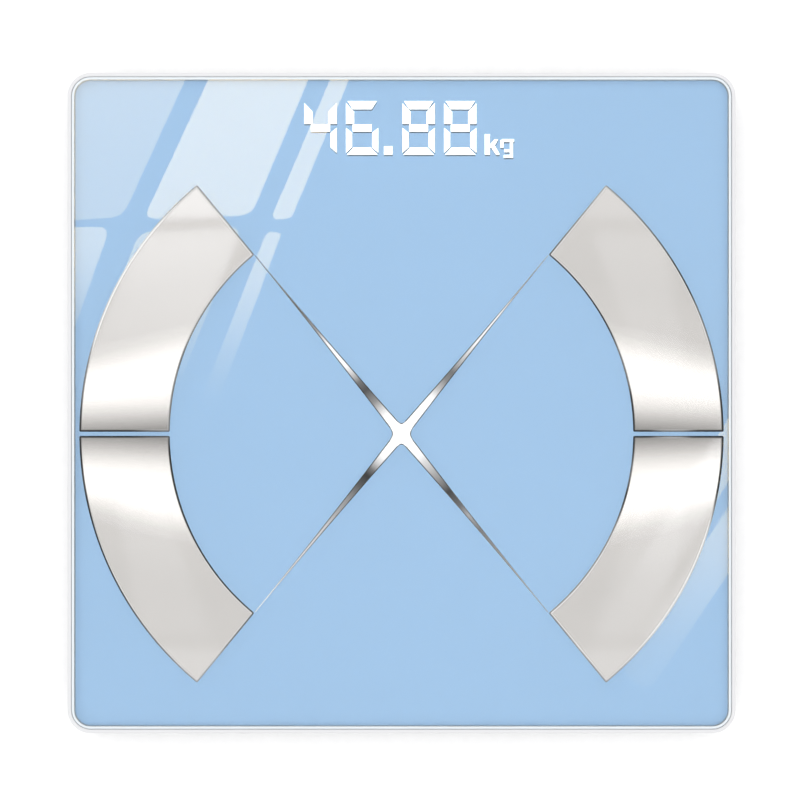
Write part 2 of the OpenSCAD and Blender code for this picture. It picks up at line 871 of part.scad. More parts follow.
module bonding_tape() {
    inset = lip_t + glass_gap + film_edge + tape_setback;
    ring_w = 6.4;
    strip_w = 6;
    well_pad_inset = 5.5;
    block_room = 0.5;
    color([0.25, 0.25, 0.26])
        slab(seat_z, film_z) {
            difference() {
                rounded(scale_w - 2 * inset, scale_d - 2 * inset, corner_r - inset);
                square([scale_w - 2 * (inset + ring_w), scale_d - 2 * (inset + ring_w)], center = true);
                translate([display_x - block_w / 2 - block_room, block_front])
                    square([block_w + 2 * block_room, block_back - block_front + block_room]);
            }
            at_feet() circle(well_r1 - well_pad_inset);
            for (y = rib_ys)
                translate([0, y]) square([2 * rib_x, strip_w], center = true);
            translate([0, bay_y]) square([bay_l - strip_w, bay_w - 4], center = true);
        }
}

// ---- feet and load cells ----

module load_cell(side, end) {
    window = cell_side - 2 * cell_frame_w;
    finger_root = 4;
    color([0.72, 0.73, 0.75])
        at_foot(side, end)
            slab(cell_z, cell_top) {
                difference() {
                    rounded(cell_side, cell_side, cell_corner_r);
                    square(window, center = true);
                }
                translate([-window / 2 - 0.1, -cell_tongue_w / 2])
                    square([window / 2 - cell_head_w / 2 + 0.2, cell_tongue_w]);
                square([cell_head_w, cell_head_l], center = true);
                for (a = [45:90:315])
                    rotate(a) translate([cell_reach - finger_root, -finger_w / 2])
                        square([retainer_bore_r + finger_lap - cell_reach + finger_root, finger_w]);
            }
}

module gauge_potting() {
    potting_w = 8;
    potting_t = 1.2;
    color([0.95, 0.95, 0.93])
        at_feet()
            translate([-12, -potting_w / 2, cell_top]) cube([potting_w, potting_w, potting_t]);
}

module foot(side, end) {
    rib_l = foot_r - foot_wall - foot_boss_r + 0.2;
    floor_top = pad_proud + foot_floor_t;
    flange_r = foot_r + foot_flange_w;
    pad_gap = 0.2;
    foot_chamfer = 0.8;
    web_t = 1.2;
    web_h = 2.6;
    color([0.9, 0.9, 0.91])
        at_foot(side, end) {
            rotate_extrude()
                polygon([
                    [0, pad_proud + pad_seat],
                    [pad_r + pad_gap, pad_proud + pad_seat],
                    [pad_r + pad_gap, pad_proud],
                    [foot_r - foot_chamfer, pad_proud],
                    [foot_r, pad_proud + foot_chamfer],
                    [foot_r, flange_z],
                    [flange_r, flange_z],
                    [flange_r, flange_z + foot_flange_t],
                    [foot_r - foot_wall, flange_z + foot_flange_t],
                    [foot_r - foot_wall, floor_top],
                    [foot_boss_r, floor_top],
                    [foot_boss_r, cell_z],
                    [0, cell_z]
                ]);
            for (a = [0:60:300])
                rotate([0, 0, a])
                    translate([foot_boss_r - 0.1, -web_t / 2, floor_top - 0.1]) cube([rib_l, web_t, web_h]);
        }
}

module foot_pad(side, end) {
    color([0.55, 0.56, 0.57])
        at_foot(side, end)
            rotate_extrude()
                polygon([
                    [0, 0],
                    [pad_r - 0.5, 0],
                    [pad_r, 0.5],
                    [pad_r, pad_proud + pad_seat],
                    [0, pad_proud + pad_seat]
                ]);
}

module foot_retainer(side, end) {
    bore = foot_r + foot_gap;
    color([0.85, 0.85, 0.86])
        at_foot(side, end)
            difference() {
                union() {
                    rotate_extrude()
                        polygon([
                            [bore, tray_z],
                            [retainer_r - 0.4, tray_z],
                            [retainer_r, tray_z + 0.4],
                            [retainer_r, cell_z],
                            [retainer_bore_r, cell_z],
                            [retainer_bore_r, tray_z + retainer_lip_t],
                            [bore, tray_z + retainer_lip_t]
                        ]);
                    at_ears() {
                        translate([retainer_r - 1, -ear_r, ear_z])
                            cube([ear_at - retainer_r + 1, 2 * ear_r, ear_t]);
                        translate([ear_at, 0, 0]) drum(ear_r, ear_z, ear_z + ear_t);
                    }
                }
                at_ears() translate([ear_at, 0, 0]) drum(screw_pass_r, ear_z - 1, ear_z + ear_t + 1);
            }
}

// pan-head screw with a cross recess, its head under the origin and its shank pointing up
module screw(length) {
    head_round = 0.6;
    slot_l = 2.6;
    slot_w = 0.5;
    slot_depth = 0.8;
    difference() {
        union() {
            rotate_extrude()
                polygon([
                    [0, -screw_head_h],
                    [screw_head_r - head_round, -screw_head_h],
                    [screw_head_r, -screw_head_h + head_round],
                    [screw_head_r, 0],
                    [0, 0]
                ]);
            drum(screw_r, -eps, length);
        }
        for (a = [0, 90])
            rotate([0, 0, a])
                translate([-slot_l / 2, -slot_w / 2, -screw_head_h - 1])
                    cube([slot_l, slot_w, 1 + slot_depth]);
    }
}

module retainer_screws() {
    color([0.6, 0.6, 0.62])
        at_feet() at_ears() translate([ear_at, 0, ear_z]) screw(screw_l);
}

// ---- electronics ----

module main_board() {
    color([0.1, 0.4, 0.25])
        slab(board_z, board_top)
            difference() {
                translate([display_x - board_w / 2, board_front]) square([board_w, board_back - board_front]);
                for (x = [-board_screw_x, board_screw_x])
                    translate([display_x + x, board_screw_y]) circle(screw_pass_r);
            }
}

module board_screws() {
    color([0.6, 0.6, 0.62])
        for (x = [-board_screw_x, board_screw_x])
            translate([display_x + x, board_screw_y, board_top])
                mirror([0, 0, 1]) screw(board_top - floor_z);
}

module window_outlines() {
    for (x = digit_xs, b = bars)
        translate([x, digit_y]) polygon(b);
    point_outline();
    translate([unit_x - 0.3, digit_y - 1.7]) square([12, 10]);
}

module display_reflector() {
    color([0.95, 0.95, 0.95])
        slab(board_top, film_z)
            difference() {
                translate([display_x - block_w / 2, block_front]) square([block_w, block_back - block_front]);
                window_outlines();
            }
}

module display_light_pipes() {
    color([0.98, 0.98, 0.95]) slab(pipe_z, film_z) window_outlines();
}

function middle(p) = [for (i = [0, 1]) (p[0][i] + p[1][i] + p[2][i] + p[3][i]) / 4];

module display_leds() {
    unit_leds = [[2.5, 3], [8.5, 3]];
    led = [1.2, 0.8];
    led_h = 0.5;
    color([1, 0.95, 0.6])
        slab(board_top, board_top + led_h) {
            for (x = digit_xs, b = bars)
                translate([x, digit_y] + middle(b)) square(led, center = true);
            translate([point_x, digit_y] + [point_side, point_side] / 2) square(led, center = true);
            for (p = unit_leds)
                translate([unit_x, digit_y] + p) square(led, center = true);
        }
}

module lead_connectors() {
    color([0.96, 0.96, 0.9])
        for (c = connectors)
            translate([c[0] - c[1] / 2, pin_y, board_top]) cube([c[1], connector_d, connector_h]);
}

module controller_chip() {
    chip_x = -4;
    chip_y = board_front + 5.2;
    chip_side = 7;
    chip_h = 1.2;
    leg = [0.9, 0.3, 0.4];
    leg_pitch = 0.8;
    color([0.12, 0.12, 0.13])
        translate([chip_x, chip_y, board_top]) {
            translate([-chip_side / 2, -chip_side / 2, 0.1]) cube([chip_side, chip_side, chip_h]);
            for (a = [0:90:270], i = [-3:3])
                rotate([0, 0, a])
                    translate([chip_side / 2 - 0.1, i * leg_pitch - leg[1] / 2, 0]) cube(leg);
        }
}

// each row: x, distance behind the board's front edge, how many, their pitch and their size
module board_passives() {
    rows = [
        [-33.4, 1.5, 4, 2.1, [1.6, 0.8, 0.6]],
        [32.5, 1.5, 4, 2.1, [1.6, 0.8, 0.6]],
        [2.6, 2, 3, 2.4, [2, 1.2, 1]],
        [13.6, 7.6, 1, 0, [3.2, 1.6, 1.4]]
    ];
    color([0.6, 0.5, 0.35])
        for (row = rows, i = [0:row[2] - 1])
            translate([row[0], board_front + row[1] + i * row[3], board_top]) cube(row[4]);
}

module crystal() {
    crystal_at = [-13.2, board_front + 3.4];
    crystal_r = 1.2;
    crystal_l = 3.2;
    crystal_h = 1.3;
    color([0.8, 0.8, 0.8])
        translate([crystal_at[0], crystal_at[1], board_top])
            linear_extrude(crystal_h) {
                translate([0, -crystal_r]) square([crystal_l, 2 * crystal_r]);
                circle(crystal_r);
                translate([crystal_l, 0]) circle(crystal_r);
            }
}

module tact_switch() {
    color([0.2, 0.2, 0.22])
        difference() {
            translate([button_x - switch_side / 2, button_y - switch_side / 2, board_z - switch_h])
                cube([switch_side, switch_side, switch_h]);
            translate([button_x, button_y, 0])
                drum(plunger_r + 0.1, board_z - switch_h - 1, board_z - 0.3);
        }
}

module switch_plunger() {
    color([0.85, 0.75, 0.4])
        translate([button_x, button_y, 0])
            drum(plunger_r, floor_z + button_flange_t, board_z - 0.3 - button_travel - 0.1);
}

module unit_button() {
    color([0.75, 0.76, 0.78])
        translate([button_x, button_y, 0])
            rotate_extrude()
                polygon([
                    [0, tray_z - button_proud],
                    [button_r - 0.4, tray_z - button_proud],
                    [button_r, tray_z - button_proud + 0.4],
                    [button_r, floor_z],
                    [button_r + button_flange, floor_z],
                    [button_r + button_flange, floor_z + button_flange_t],
                    [0, floor_z + button_flange_t]
                ]);
}

// ---- batteries ----

module battery_door() {
    plate_d = door_d - knuckle_r;
    grip_w = 16;
    grip_pitch = 2.5;
    grip_back = 9;
    grip_depth = 0.4;
    color([0.9, 0.9, 0.91]) {
        difference() {
            union() {
                translate([-door_w / 2, hinge_y, tray_z]) cube([door_w, plate_d, door_t]);
                translate([-latch_w / 2, hinge_y + plate_d - eps, tray_z + 0.5])
                    cube([latch_w, latch_l, door_t - 0.5]);
            }
            for (i = [0:2])
                translate([-grip_w / 2, hinge_y + plate_d - grip_back + i * grip_pitch, tray_z - 1])
                    cube([grip_w, 1, 1 + grip_depth]);
        }
        translate([0, hinge_y, hinge_z]) rotate([0, 90, 0]) {
            cylinder(door_w, knuckle_r, knuckle_r, center = true);
            cylinder(door_w + 2 * pin_l, pin_r, pin_r, center = true);
        }
    }
}

// a battery in row i, counted from the front; every second one points the other way
module battery(i) {
    end = i % 2 == 0 ? right : left;
    nub_l = 1.2;
    nub_r = battery_d * 0.19;
    r = battery_d / 2;
    end_round = 0.4;
    color(i % 2 == 0 ? [0.2, 0.45, 0.3] : [0.22, 0.42, 0.34])
        translate([end * (bay_l / 2 - contact_t), bay_y + (i - 1) * battery_pitch, battery_z])
            rotate([0, -90 * end, 0])
                rotate_extrude()
                    polygon([
                        [0, 0],
                        [nub_r, 0],
                        [nub_r, nub_l],
                        [r - end_round, nub_l],
                        [r, nub_l + end_round],
                        [r, battery_l - end_round],
                        [r - end_round, battery_l],
                        [0, battery_l]
                    ]);
}

module battery_springs() {
    steps = 10 * spring_turns;
    big_r = battery_d * 0.34;
    small_r = battery_d * 0.2;
    length = spring_l - 2 * spring_wire_r;
    color([0.8, 0.8, 0.78])
        for (i = [0:battery_count - 1]) {
            side = i % 2 == 0 ? left : right;
            x = side * (bay_l / 2 - contact_t - spring_wire_r);
            translate([x, bay_y + (i - 1) * battery_pitch, battery_z])
                tube([
                    for (k = [0:steps])
                        let (a = 360 * spring_turns * k / steps, r = big_r + (small_r - big_r) * k / steps)
                            [-side * length * k / steps, r * cos(a), r * sin(a)]
                ], spring_wire_r, 6);
        }
}

// a contact plate on the left end wall, from row a to row b
module contact_plate(a, b) {
    single_w = 9;
    plate_h = 9.2;
    plate_w = single_w + (b - a) * battery_pitch;
    translate([-bay_l / 2, bay_y + (a - 1) * battery_pitch - single_w / 2, battery_z - plate_h / 2])
        cube([contact_t, plate_w, plate_h]);
}

module battery_contacts() {
    color([0.85, 0.84, 0.8]) {
        contact_plate(0, 0);
        contact_plate(1, 2);
        mirror([1, 0, 0]) contact_plate(0, 1);
        mirror([1, 0, 0]) contact_plate(2, 2);
        for (side = [left, right]) {
            x = side * (bay_l / 2 + (tab_l - contact_t) / 2);
            translate([x, bay_y + side * battery_pitch, tab_z + contact_t / 2])
                cube([tab_l + contact_t, 3, contact_t], center = true);
        }
    }
}

// ---- wiring ----

module cell_wires(k) {
    left_and_right() {
        wire(back_route(k));
        wire(front_route(k));
    }
}

module wires_red() {
    color([0.75, 0.12, 0.1]) cell_wires(0);
}

module wires_white() {
    color([0.92, 0.92, 0.9]) cell_wires(1);
}

module wires_black() {
    color([0.08, 0.08, 0.08]) cell_wires(2);
}

module electrode_leads() {
    color([0.85, 0.7, 0.15])
        left_and_right() {
            wire(lead_route(pattern_y + stud_dy, 0, 4, -23.65));
            wire(lead_route(pattern_y - stud_dy, 1, 3, -22.35));
        }
}

module battery_lead_black() {
    color([0.1, 0.1, 0.1]) wire(battery_route(left, 9.4));
}

module battery_lead_red() {
    color([0.8, 0.1, 0.1]) wire(battery_route(right, 10.7));
}

glass_platform();
print_film();
lit_segments();
cross_trim();
electrode(left, back);  // electrode_toe_left
electrode(right, back);  // electrode_toe_right
electrode(left, front);  // electrode_heel_left
electrode(right, front);  // electrode_heel_right
electrode_adhesive();
electrode_lugs();
electrode_nuts();
tray();
bonding_tape();
load_cell(left, back);  // load_cell_back_left
load_cell(right, back);  // load_cell_back_right
load_cell(left, front);  // load_cell_front_left
load_cell(right, front);  // load_cell_front_right
gauge_potting();
foot(left, back);  // foot_back_left
foot(right, back);  // foot_back_right
foot(left, front);  // foot_front_left
foot(right, front);  // foot_front_right
foot_pad(left, back);  // foot_pad_back_left
foot_pad(right, back);  // foot_pad_back_right
foot_pad(left, front);  // foot_pad_front_left
foot_pad(right, front);  // foot_pad_front_right
foot_retainer(left, back);  // foot_retainer_back_left
foot_retainer(right, back);  // foot_retainer_back_right
foot_retainer(left, front);  // foot_retainer_front_left
foot_retainer(right, front);  // foot_retainer_front_right
retainer_screws();
main_board();
board_screws();
display_reflector();
display_light_pipes();
display_leds();
lead_connectors();
controller_chip();
board_passives();
crystal();
tact_switch();
switch_plunger();
unit_button();
battery_door();
battery(0);  // battery_front
battery(1);  // battery_middle
battery(2);  // battery_back
battery_springs();
battery_contacts();
wires_red();
wires_white();
wires_black();
electrode_leads();
battery_lead_black();
battery_lead_red();
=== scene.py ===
import math
import bmesh
import bpy
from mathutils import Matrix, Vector
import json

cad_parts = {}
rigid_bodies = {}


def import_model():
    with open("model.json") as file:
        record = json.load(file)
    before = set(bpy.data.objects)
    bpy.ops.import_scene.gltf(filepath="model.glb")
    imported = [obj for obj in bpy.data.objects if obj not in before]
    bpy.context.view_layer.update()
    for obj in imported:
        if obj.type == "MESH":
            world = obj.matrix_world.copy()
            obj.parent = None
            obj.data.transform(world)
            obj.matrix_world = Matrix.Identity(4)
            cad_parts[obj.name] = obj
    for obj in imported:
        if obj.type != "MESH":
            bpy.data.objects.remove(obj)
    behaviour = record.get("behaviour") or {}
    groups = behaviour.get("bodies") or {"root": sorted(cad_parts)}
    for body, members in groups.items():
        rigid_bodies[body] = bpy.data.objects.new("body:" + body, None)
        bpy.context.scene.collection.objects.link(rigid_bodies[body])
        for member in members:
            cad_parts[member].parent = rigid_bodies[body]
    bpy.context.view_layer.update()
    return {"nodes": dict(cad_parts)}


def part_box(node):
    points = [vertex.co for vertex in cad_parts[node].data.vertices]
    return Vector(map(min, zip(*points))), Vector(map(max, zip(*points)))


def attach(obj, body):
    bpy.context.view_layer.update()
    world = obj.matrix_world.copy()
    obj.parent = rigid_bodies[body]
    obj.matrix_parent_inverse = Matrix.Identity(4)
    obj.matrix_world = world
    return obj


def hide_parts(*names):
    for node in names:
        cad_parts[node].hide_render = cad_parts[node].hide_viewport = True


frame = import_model()
mm = 0.001
scene = bpy.context.scene
scene.view_settings.view_transform = "Standard"
nodes = frame["nodes"]
print("frame loaded:", len(nodes), "nodes")


# the camera looks straight down at the glass
cameraSetup = {
    "aim": (-0.58 * mm, 1.17 * mm),
    "height": 6,  # above the glass
    "seenWidth": 311.4 * mm,  # what fits across at the glass top
    "sensor": 36,
    "farthest": 20,  # m that it sees
}
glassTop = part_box("glass_platform")[1].z
cameraData = bpy.data.cameras.new("overheadCamera")
cameraData.sensor_width = cameraSetup["sensor"]
cameraData.lens = cameraSetup["sensor"] * cameraSetup["height"] / cameraSetup["seenWidth"]
cameraData.clip_end = cameraSetup["farthest"]
camera = bpy.data.objects.new("overheadCamera", cameraData)
camera.location = (*cameraSetup["aim"], glassTop + cameraSetup["height"])
scene.collection.objects.link(camera)
scene.camera = camera


# shader maths, written as expressions
class Socket:
    def __init__(self, tree, out=None):
        self.tree = tree
        self.out = out

    # any node: its type, its settings, then its sockets' values or links
    def node(self, kind, settings=None, sockets=None, out=0):
        made = self.tree.nodes.new(kind)
        for key, value in (settings or {}).items():
            if key == "stops":
                fillRamp(made.color_ramp, value)
            else:
                setattr(made, key, value)
        for key, value in (sockets or {}).items():
            if isinstance(value, Socket):
                self.tree.links.new(value.out, made.inputs[key])
            else:
                made.inputs[key].default_value = value
        return Socket(self.tree, made.outputs[out])

    def maths(self, operation, *values):
        sockets = dict(enumerate(values))
        return self.node("ShaderNodeMath", {"operation": operation}, sockets)

    def __add__(self, other):
        return self.maths("ADD", self, other)

    def __radd__(self, other):
        return self.maths("ADD", other, self)

    def __sub__(self, other):
        return self.maths("SUBTRACT", self, other)

    def __rsub__(self, other):
        return self.maths("SUBTRACT", other, self)

    def __mul__(self, other):
        return self.maths("MULTIPLY", self, other)

    def __rmul__(self, other):
        return self.maths("MULTIPLY", other, self)

    def __truediv__(self, other):
        return self.maths("DIVIDE", self, other)

    def __abs__(self):
        return self.maths("ABSOLUTE", self)

    def least(self, other):
        return self.maths("MINIMUM", self, other)

    def most(self, other):
        return self.maths("MAXIMUM", self, other)

    # 0 below low, 1 above high, smooth between
    def step(self, low, high):
        return self.node("ShaderNodeMapRange", {"interpolation_type": "SMOOTHSTEP"},
                         {0: self, 1: low, 2: high})

    # a bump, 1 at the middle and 0 beyond half a width
    def stripe(self, middle, width, soft):
        return 1 - abs(self - middle).step(width / 2 - soft / 2, width / 2 + soft / 2)

    def noise(self, size, detail=2, stretch=(1, 1, 1)):
        at = self.node("ShaderNodeVectorMath", {"operation": "MULTIPLY"}, {0: self, 1: stretch})
        return self.node("ShaderNodeTexNoise", {}, {"Vector": at, "Scale": 1 / size, "Detail": detail})

    def cells(self, size, out="Distance"):
        return self.node("ShaderNodeTexVoronoi", {}, {"Vector": self, "Scale": 1 / size}, out)

    def ramp(self, stops):
        return self.node("ShaderNodeValToRGB", {"stops": stops}, {0: self})

    def blend(self, first, second):
        return self.node("ShaderNodeMix", {"data_type": "RGBA"}, {0: self, 6: first, 7: second}, 2)

    # colours only
    def times(self, colour):
        return self.node("ShaderNodeMix", {"data_type": "RGBA", "blend_type": "MULTIPLY"},
                         {0: 1.0, 6: self, 7: colour}, 2)

    # distance from two offsets
    def reach(self, other):
        return self.maths("SQRT", self * self + other * other)

    def bump(self, height, strength=0.5):
        return self.node("ShaderNodeBump", {}, {"Height": self, "Distance": height, "Strength": strength})


def fillRamp(ramp, stops):
    while len(ramp.elements) > 1:
        ramp.elements.remove(ramp.elements[0])
    ramp.elements[0].position = stops[0][0]
    ramp.elements[0].color = stops[0][1]
    for place, colour in stops[1:]:
        ramp.elements.new(place).color = colour


# a colour given as on a screen, 0 to 255, times a strength
def tint(red, green, blue, strength=1.0):
    def straight(value):
        share = value / 255
        return (share / 12.92 if share <= 0.04045 else ((share + 0.055) / 1.055) ** 2.4) * strength
    return (straight(red), straight(green), straight(blue), 1)


def grey(value):
    return (value, value, value, 1)


# starts a material and gives back its material, a socket maker and the place in metres
def newFinish(name):
    material = bpy.data.materials.new(name)
    material.use_nodes = True
    material.node_tree.nodes.clear()
    maker = Socket(material.node_tree)
    place = maker.node("ShaderNodeTexCoord", {}, {}, "Object")
    return material, maker, place


def axes(place):
    parts = place.node("ShaderNodeSeparateXYZ", {}, {0: place}).out.node
    return [Socket(place.tree, part) for part in parts.outputs]


# a colour with some of its light taken away
def dimmed(colour, share):
    return tuple(part * share for part in colour[:3]) + (1,)


def closeFinish(material, maker, **sockets):
    named = {key.replace("_", " "): value for key, value in sockets.items()}
    shader = maker.node("ShaderNodeBsdfPrincipled", {}, named)
    closeTree(maker, shader)
    return material


def closeTree(maker, shader):
    output = maker.tree.nodes.new("ShaderNodeOutputMaterial")
    maker.tree.links.new(shader.out, output.inputs["Surface"])


mouldedLook = {
    "toneSize": 14 * mm,
    "rubSize": 5 * mm,
    "rubGloss": 0.06,  # how much smoother a rubbed spot is
    "grainRough": 0.08,
    "bump": 0.6,
}


# moulded plastic or rubber: fine grain, a slow change of tone and rubbed spots
def moulded(name, colour, rough=0.42, grain=0.35 * mm, depth=0.02 * mm, mottle=0.04):
    material, maker, place = newFinish(name)
    slow = place.noise(mouldedLook["toneSize"], 3)
    fine = place.noise(grain, 4)
    tone = (0.7 * slow + 0.3 * fine).step(0.35, 0.65).blend(colour, dimmed(colour, 1 - mottle))
    rubbed = place.noise(mouldedLook["rubSize"]).step(0.5, 0.75)
    roughness = rough + mouldedLook["grainRough"] * fine - mouldedLook["rubGloss"] * rubbed
    return closeFinish(material, maker, Base_Color=tone, Roughness=roughness,
                       Normal=fine.bump(depth, mouldedLook["bump"]))


metalLook = {
    "stainSize": 9 * mm,
    "stainTone": 0.82,
    "lineRough": 0.12,
    "stainRough": 0.08,
}


# drawn or stamped metal: lines along one axis, faint stains
def drawnMetal(name, colour, rough=0.3, stretch=(1, 14, 1), line=0.25 * mm, depth=0.004 * mm):
    material, maker, place = newFinish(name)
    lines = place.noise(line, 3, stretch)
    stain = place.noise(metalLook["stainSize"], 3).step(0.4, 0.7)
    stained = dimmed(colour, metalLook["stainTone"])
    tone = (0.6 * lines + 0.4 * stain).step(0.3, 0.75).blend(colour, stained)
    roughness = rough + metalLook["lineRough"] * lines + metalLook["stainRough"] * stain
    return closeFinish(material, maker, Base_Color=tone, Metallic=1.0, Roughness=roughness,
                       Normal=lines.bump(depth))


def paint(material, *names):
    for name in names:
        thing = nodes[name]
        thing.data.materials.clear()
        thing.data.materials.append(material)


# shapes, built from rings of points
weld = 0.0001 * mm  # points closer than this are one
levelSlope = 0.9999  # upright share of a level face's normal


# materials are one, or several that the faces choose from
def makePiece(name, shape, materials, body, stands=(), sharp=35):
    bmesh.ops.remove_doubles(shape, verts=shape.verts, dist=weld)
    bmesh.ops.recalc_face_normals(shape, faces=shape.faces)
    mesh = bpy.data.meshes.new(name)
    shape.to_mesh(mesh)
    shape.free()
    mesh.polygons.foreach_set("use_smooth", [True] * len(mesh.polygons))
    mesh.set_sharp_from_angle(angle=math.radians(sharp))
    # level faces stay flat, so that reflections in them are straight
    mesh.polygons.foreach_set("use_smooth", [abs(face.normal.z) < levelSlope for face in mesh.polygons])
    for material in materials if isinstance(materials, list) else [materials]:
        mesh.materials.append(material)
    piece = bpy.data.objects.new(name, mesh)
    scene.collection.objects.link(piece)
    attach(piece, body)
    if stands:
        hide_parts(*stands)
    return piece


# light from under the glass passes the piece, so that the print keeps one tone around it
def letPass(piece):
    piece.visible_transmission = False


def addRing(shape, points, z):
    return [shape.verts.new((x, y, z)) for x, y in points]


def joinRings(shape, first, second, choice=0):
    count = len(first)
    for i in range(count):
        j = (i + 1) % count
        shape.faces.new((first[i], first[j], second[j], second[i])).material_index = choice


# rings of outlines, one above the other, closed at both ends; choices are the walls' materials
def loft(shape, rings, capped=True, choices=()):
    made = [addRing(shape, points, z) for points, z in rings]
    for i, (low, high) in enumerate(zip(made, made[1:])):
        joinRings(shape, low, high, choices[i] if choices else 0)
    if capped:
        shape.faces.new(made[0])
        shape.faces.new(made[-1])
    return made


def circle(x, y, radius, steps=48):
    turn = 2 * math.pi / steps
    return [(x + radius * math.cos(turn * i), y + radius * math.sin(turn * i)) for i in range(steps)]


def roundedBox(width, depth, radius, steps=10):
    points = []
    for quarter, (sx, sy) in enumerate([(1, 1), (-1, 1), (-1, -1), (1, -1)]):
        cx, cy = sx * (width / 2 - radius), sy * (depth / 2 - radius)
        for i in range(steps + 1):
            angle = math.radians(90 * quarter + 90 * i / steps)
            points.append((cx + radius * math.cos(angle), cy + radius * math.sin(angle)))
    return points


def lathe(shape, x, y, profile, steps=96):
    loft(shape, [(circle(x, y, radius, steps), z) for radius, z in profile])


# tempered glass with a ground edge and four holes for the studs
glassPane = {
    "lift": 0.03 * mm,  # clearance over the print, for the display bars' edges
    "corner": 7.4 * mm,
    "edge": [(0.25, 0), (0.05, 0.12), (0, 0.3)],  # inset and height at the bottom, mm
    "polish": [(0, -1.0), (0.04, -0.74), (0.15, -0.5), (0.33, -0.28), (0.6, -0.1), (1.0, 0)],
    "hole": 3 * mm,
    "holeSides": 32,
    "body": tint(250, 254, 253),
    "ground": tint(236, 241, 243),
    "groundTone": 0.93,
    "bends": 1.5,  # refractive index
    "smearSize": 26 * mm,
}


def glassFinish():
    material, maker, place = newFinish("temperedGlass")
    smear = place.noise(glassPane["smearSize"], 4).step(0.55, 0.8)
    return closeFinish(material, maker, Base_Color=glassPane["body"], Transmission_Weight=1.0,
                       IOR=glassPane["bends"], Roughness=0.004 + 0.012 * smear)


# the edge is ground, not polished, so it is pale and scatters light
def groundFinish():
    material, maker, place = newFinish("groundEdge")
    fine = place.noise(0.3 * mm, 3)
    tone = fine.blend(glassPane["ground"], dimmed(glassPane["ground"], glassPane["groundTone"]))
    return closeFinish(material, maker, Base_Color=tone, Transmission_Weight=0.25, IOR=glassPane["bends"],
                       Roughness=0.42 + 0.12 * fine, Normal=fine.bump(0.01 * mm, 0.4))


def buildGlass():
    low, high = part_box("glass_platform")
    width, depth = high.x - low.x, high.y - low.y
    corner = glassPane["corner"]
    bottom, top = low.z + glassPane["lift"], high.z
    shape = bmesh.new()
    rings = []
    for inset, height in glassPane["edge"]:
        rings.append((inset * mm, bottom + height * mm))
    for inset, height in glassPane["polish"]:
        rings.append((inset * mm, top + height * mm))
    made = loft(shape, [(roundedBox(width - 2 * i, depth - 2 * i, corner - i), z) for i, z in rings], False,
                [1] * len(rings))
    holeRims = []
    for side in (-1, 1):
        for end in (-1, 1):
            name = "electrode_" + ("toe" if end > 0 else "heel") + ("_right" if side > 0 else "_left")
            at = studPlace(name, side, end)
            wall = circle(*at, glassPane["hole"], glassPane["holeSides"])
            holeRims.append(loft(shape, [(wall, bottom), (wall, top)], False))
    shape.edges.ensure_lookup_table()
    for level in (0, -1):
        loops = [made[level]] + [hole[level] for hole in holeRims]
        rim = []
        for loop in loops:
            for i, vert in enumerate(loop):
                rim.append(shape.edges.get((vert, loop[(i + 1) % len(loop)])))
        bmesh.ops.triangle_fill(shape, edges=rim, use_beauty=True)
    makePiece("glassPane", shape, [glassFinish(), groundFinish()], "platform",
              ["glass_platform"], 25)
    print("glass built")


# the contact stud's place, from the electrode's box
def studPlace(name, side, end):
    middle = electrodeLook["centre"][1]
    outer = abs(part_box(name)[0 if side < 0 else 1].x)
    angle = math.radians(electrodeLook["studAngle"])
    reach = outer - electrodeLook["band"] / 2
    return side * reach * math.cos(angle), middle + end * reach * math.sin(angle)


# stainless electrodes: flat faces, a rolled edge and a threaded stud
electrodeLook = {
    "centre": (0, -12 * mm),
    "band": 35.2 * mm,
    "endAngle": 50.6,
    "gap": 1.6 * mm,
    "corner": 0.6 * mm,
    "thickness": 0.4 * mm,
    "studAngle": 12,
    "stud": 1.5 * mm,
    "threadTurns": 9,
    "threadPitch": 0.4 * mm,
    "threadDepth": 0.18 * mm,
    "paintedSheen": 0.9,  # scale of the painted reflection: share of light that the brightest steel's painted colour sends back
    # inset and height of the rolled edge, mm
    "edge": [(0.06, 0), (0, 0.06), (0.02, 0.12), (0.14, 0.2), (0.34, 0.27), (0.6, 0.33), (0.82, 0.37),
             (1.1, 0.4)],
    # which finish each step of the edge has: 0 as the face, 1 the painted dark outline, 2 the painted
    # bright line
    "paintedEdgeFinish": [1, 1, 1, 1, 1, 2, 0],
    # painted reflection: how bright the steel's colour is painted, by mm from the gap between toe and heel
    "tones": [(0, 0.17), (2, 0.22), (4, 0.3), (6.5, 0.41), (9.5, 0.55), (12.5, 0.67), (16, 0.77),
              (20, 0.82), (26, 0.82), (29, 0.77), (32, 0.69), (35, 0.6), (38, 0.52), (43, 0.455),
              (60, 0.435), (95, 0.45)],
    "warm": (1.0, 0.968, 0.93, 1),
    "rough": 0.25,
    "coatRough": 0.02,
    "arcSteps": 60,
    "cornerSteps": 6,
}


# painted reflection: a brightness for each distance in mm, as a ramp over a tenth of a metre
def paintedReflectionRamp(distance, tones, paintedSheen):
    return (distance / (100 * mm)).ramp([(at / 100, grey(value * paintedSheen)) for at, value in tones])


# points along an arc
def fan(x, y, radius, first, last, steps):
    angles = [math.radians(first + (last - first) * i / steps) for i in range(steps + 1)]
    return [(x + radius * math.cos(angle), y + radius * math.sin(angle)) for angle in angles]


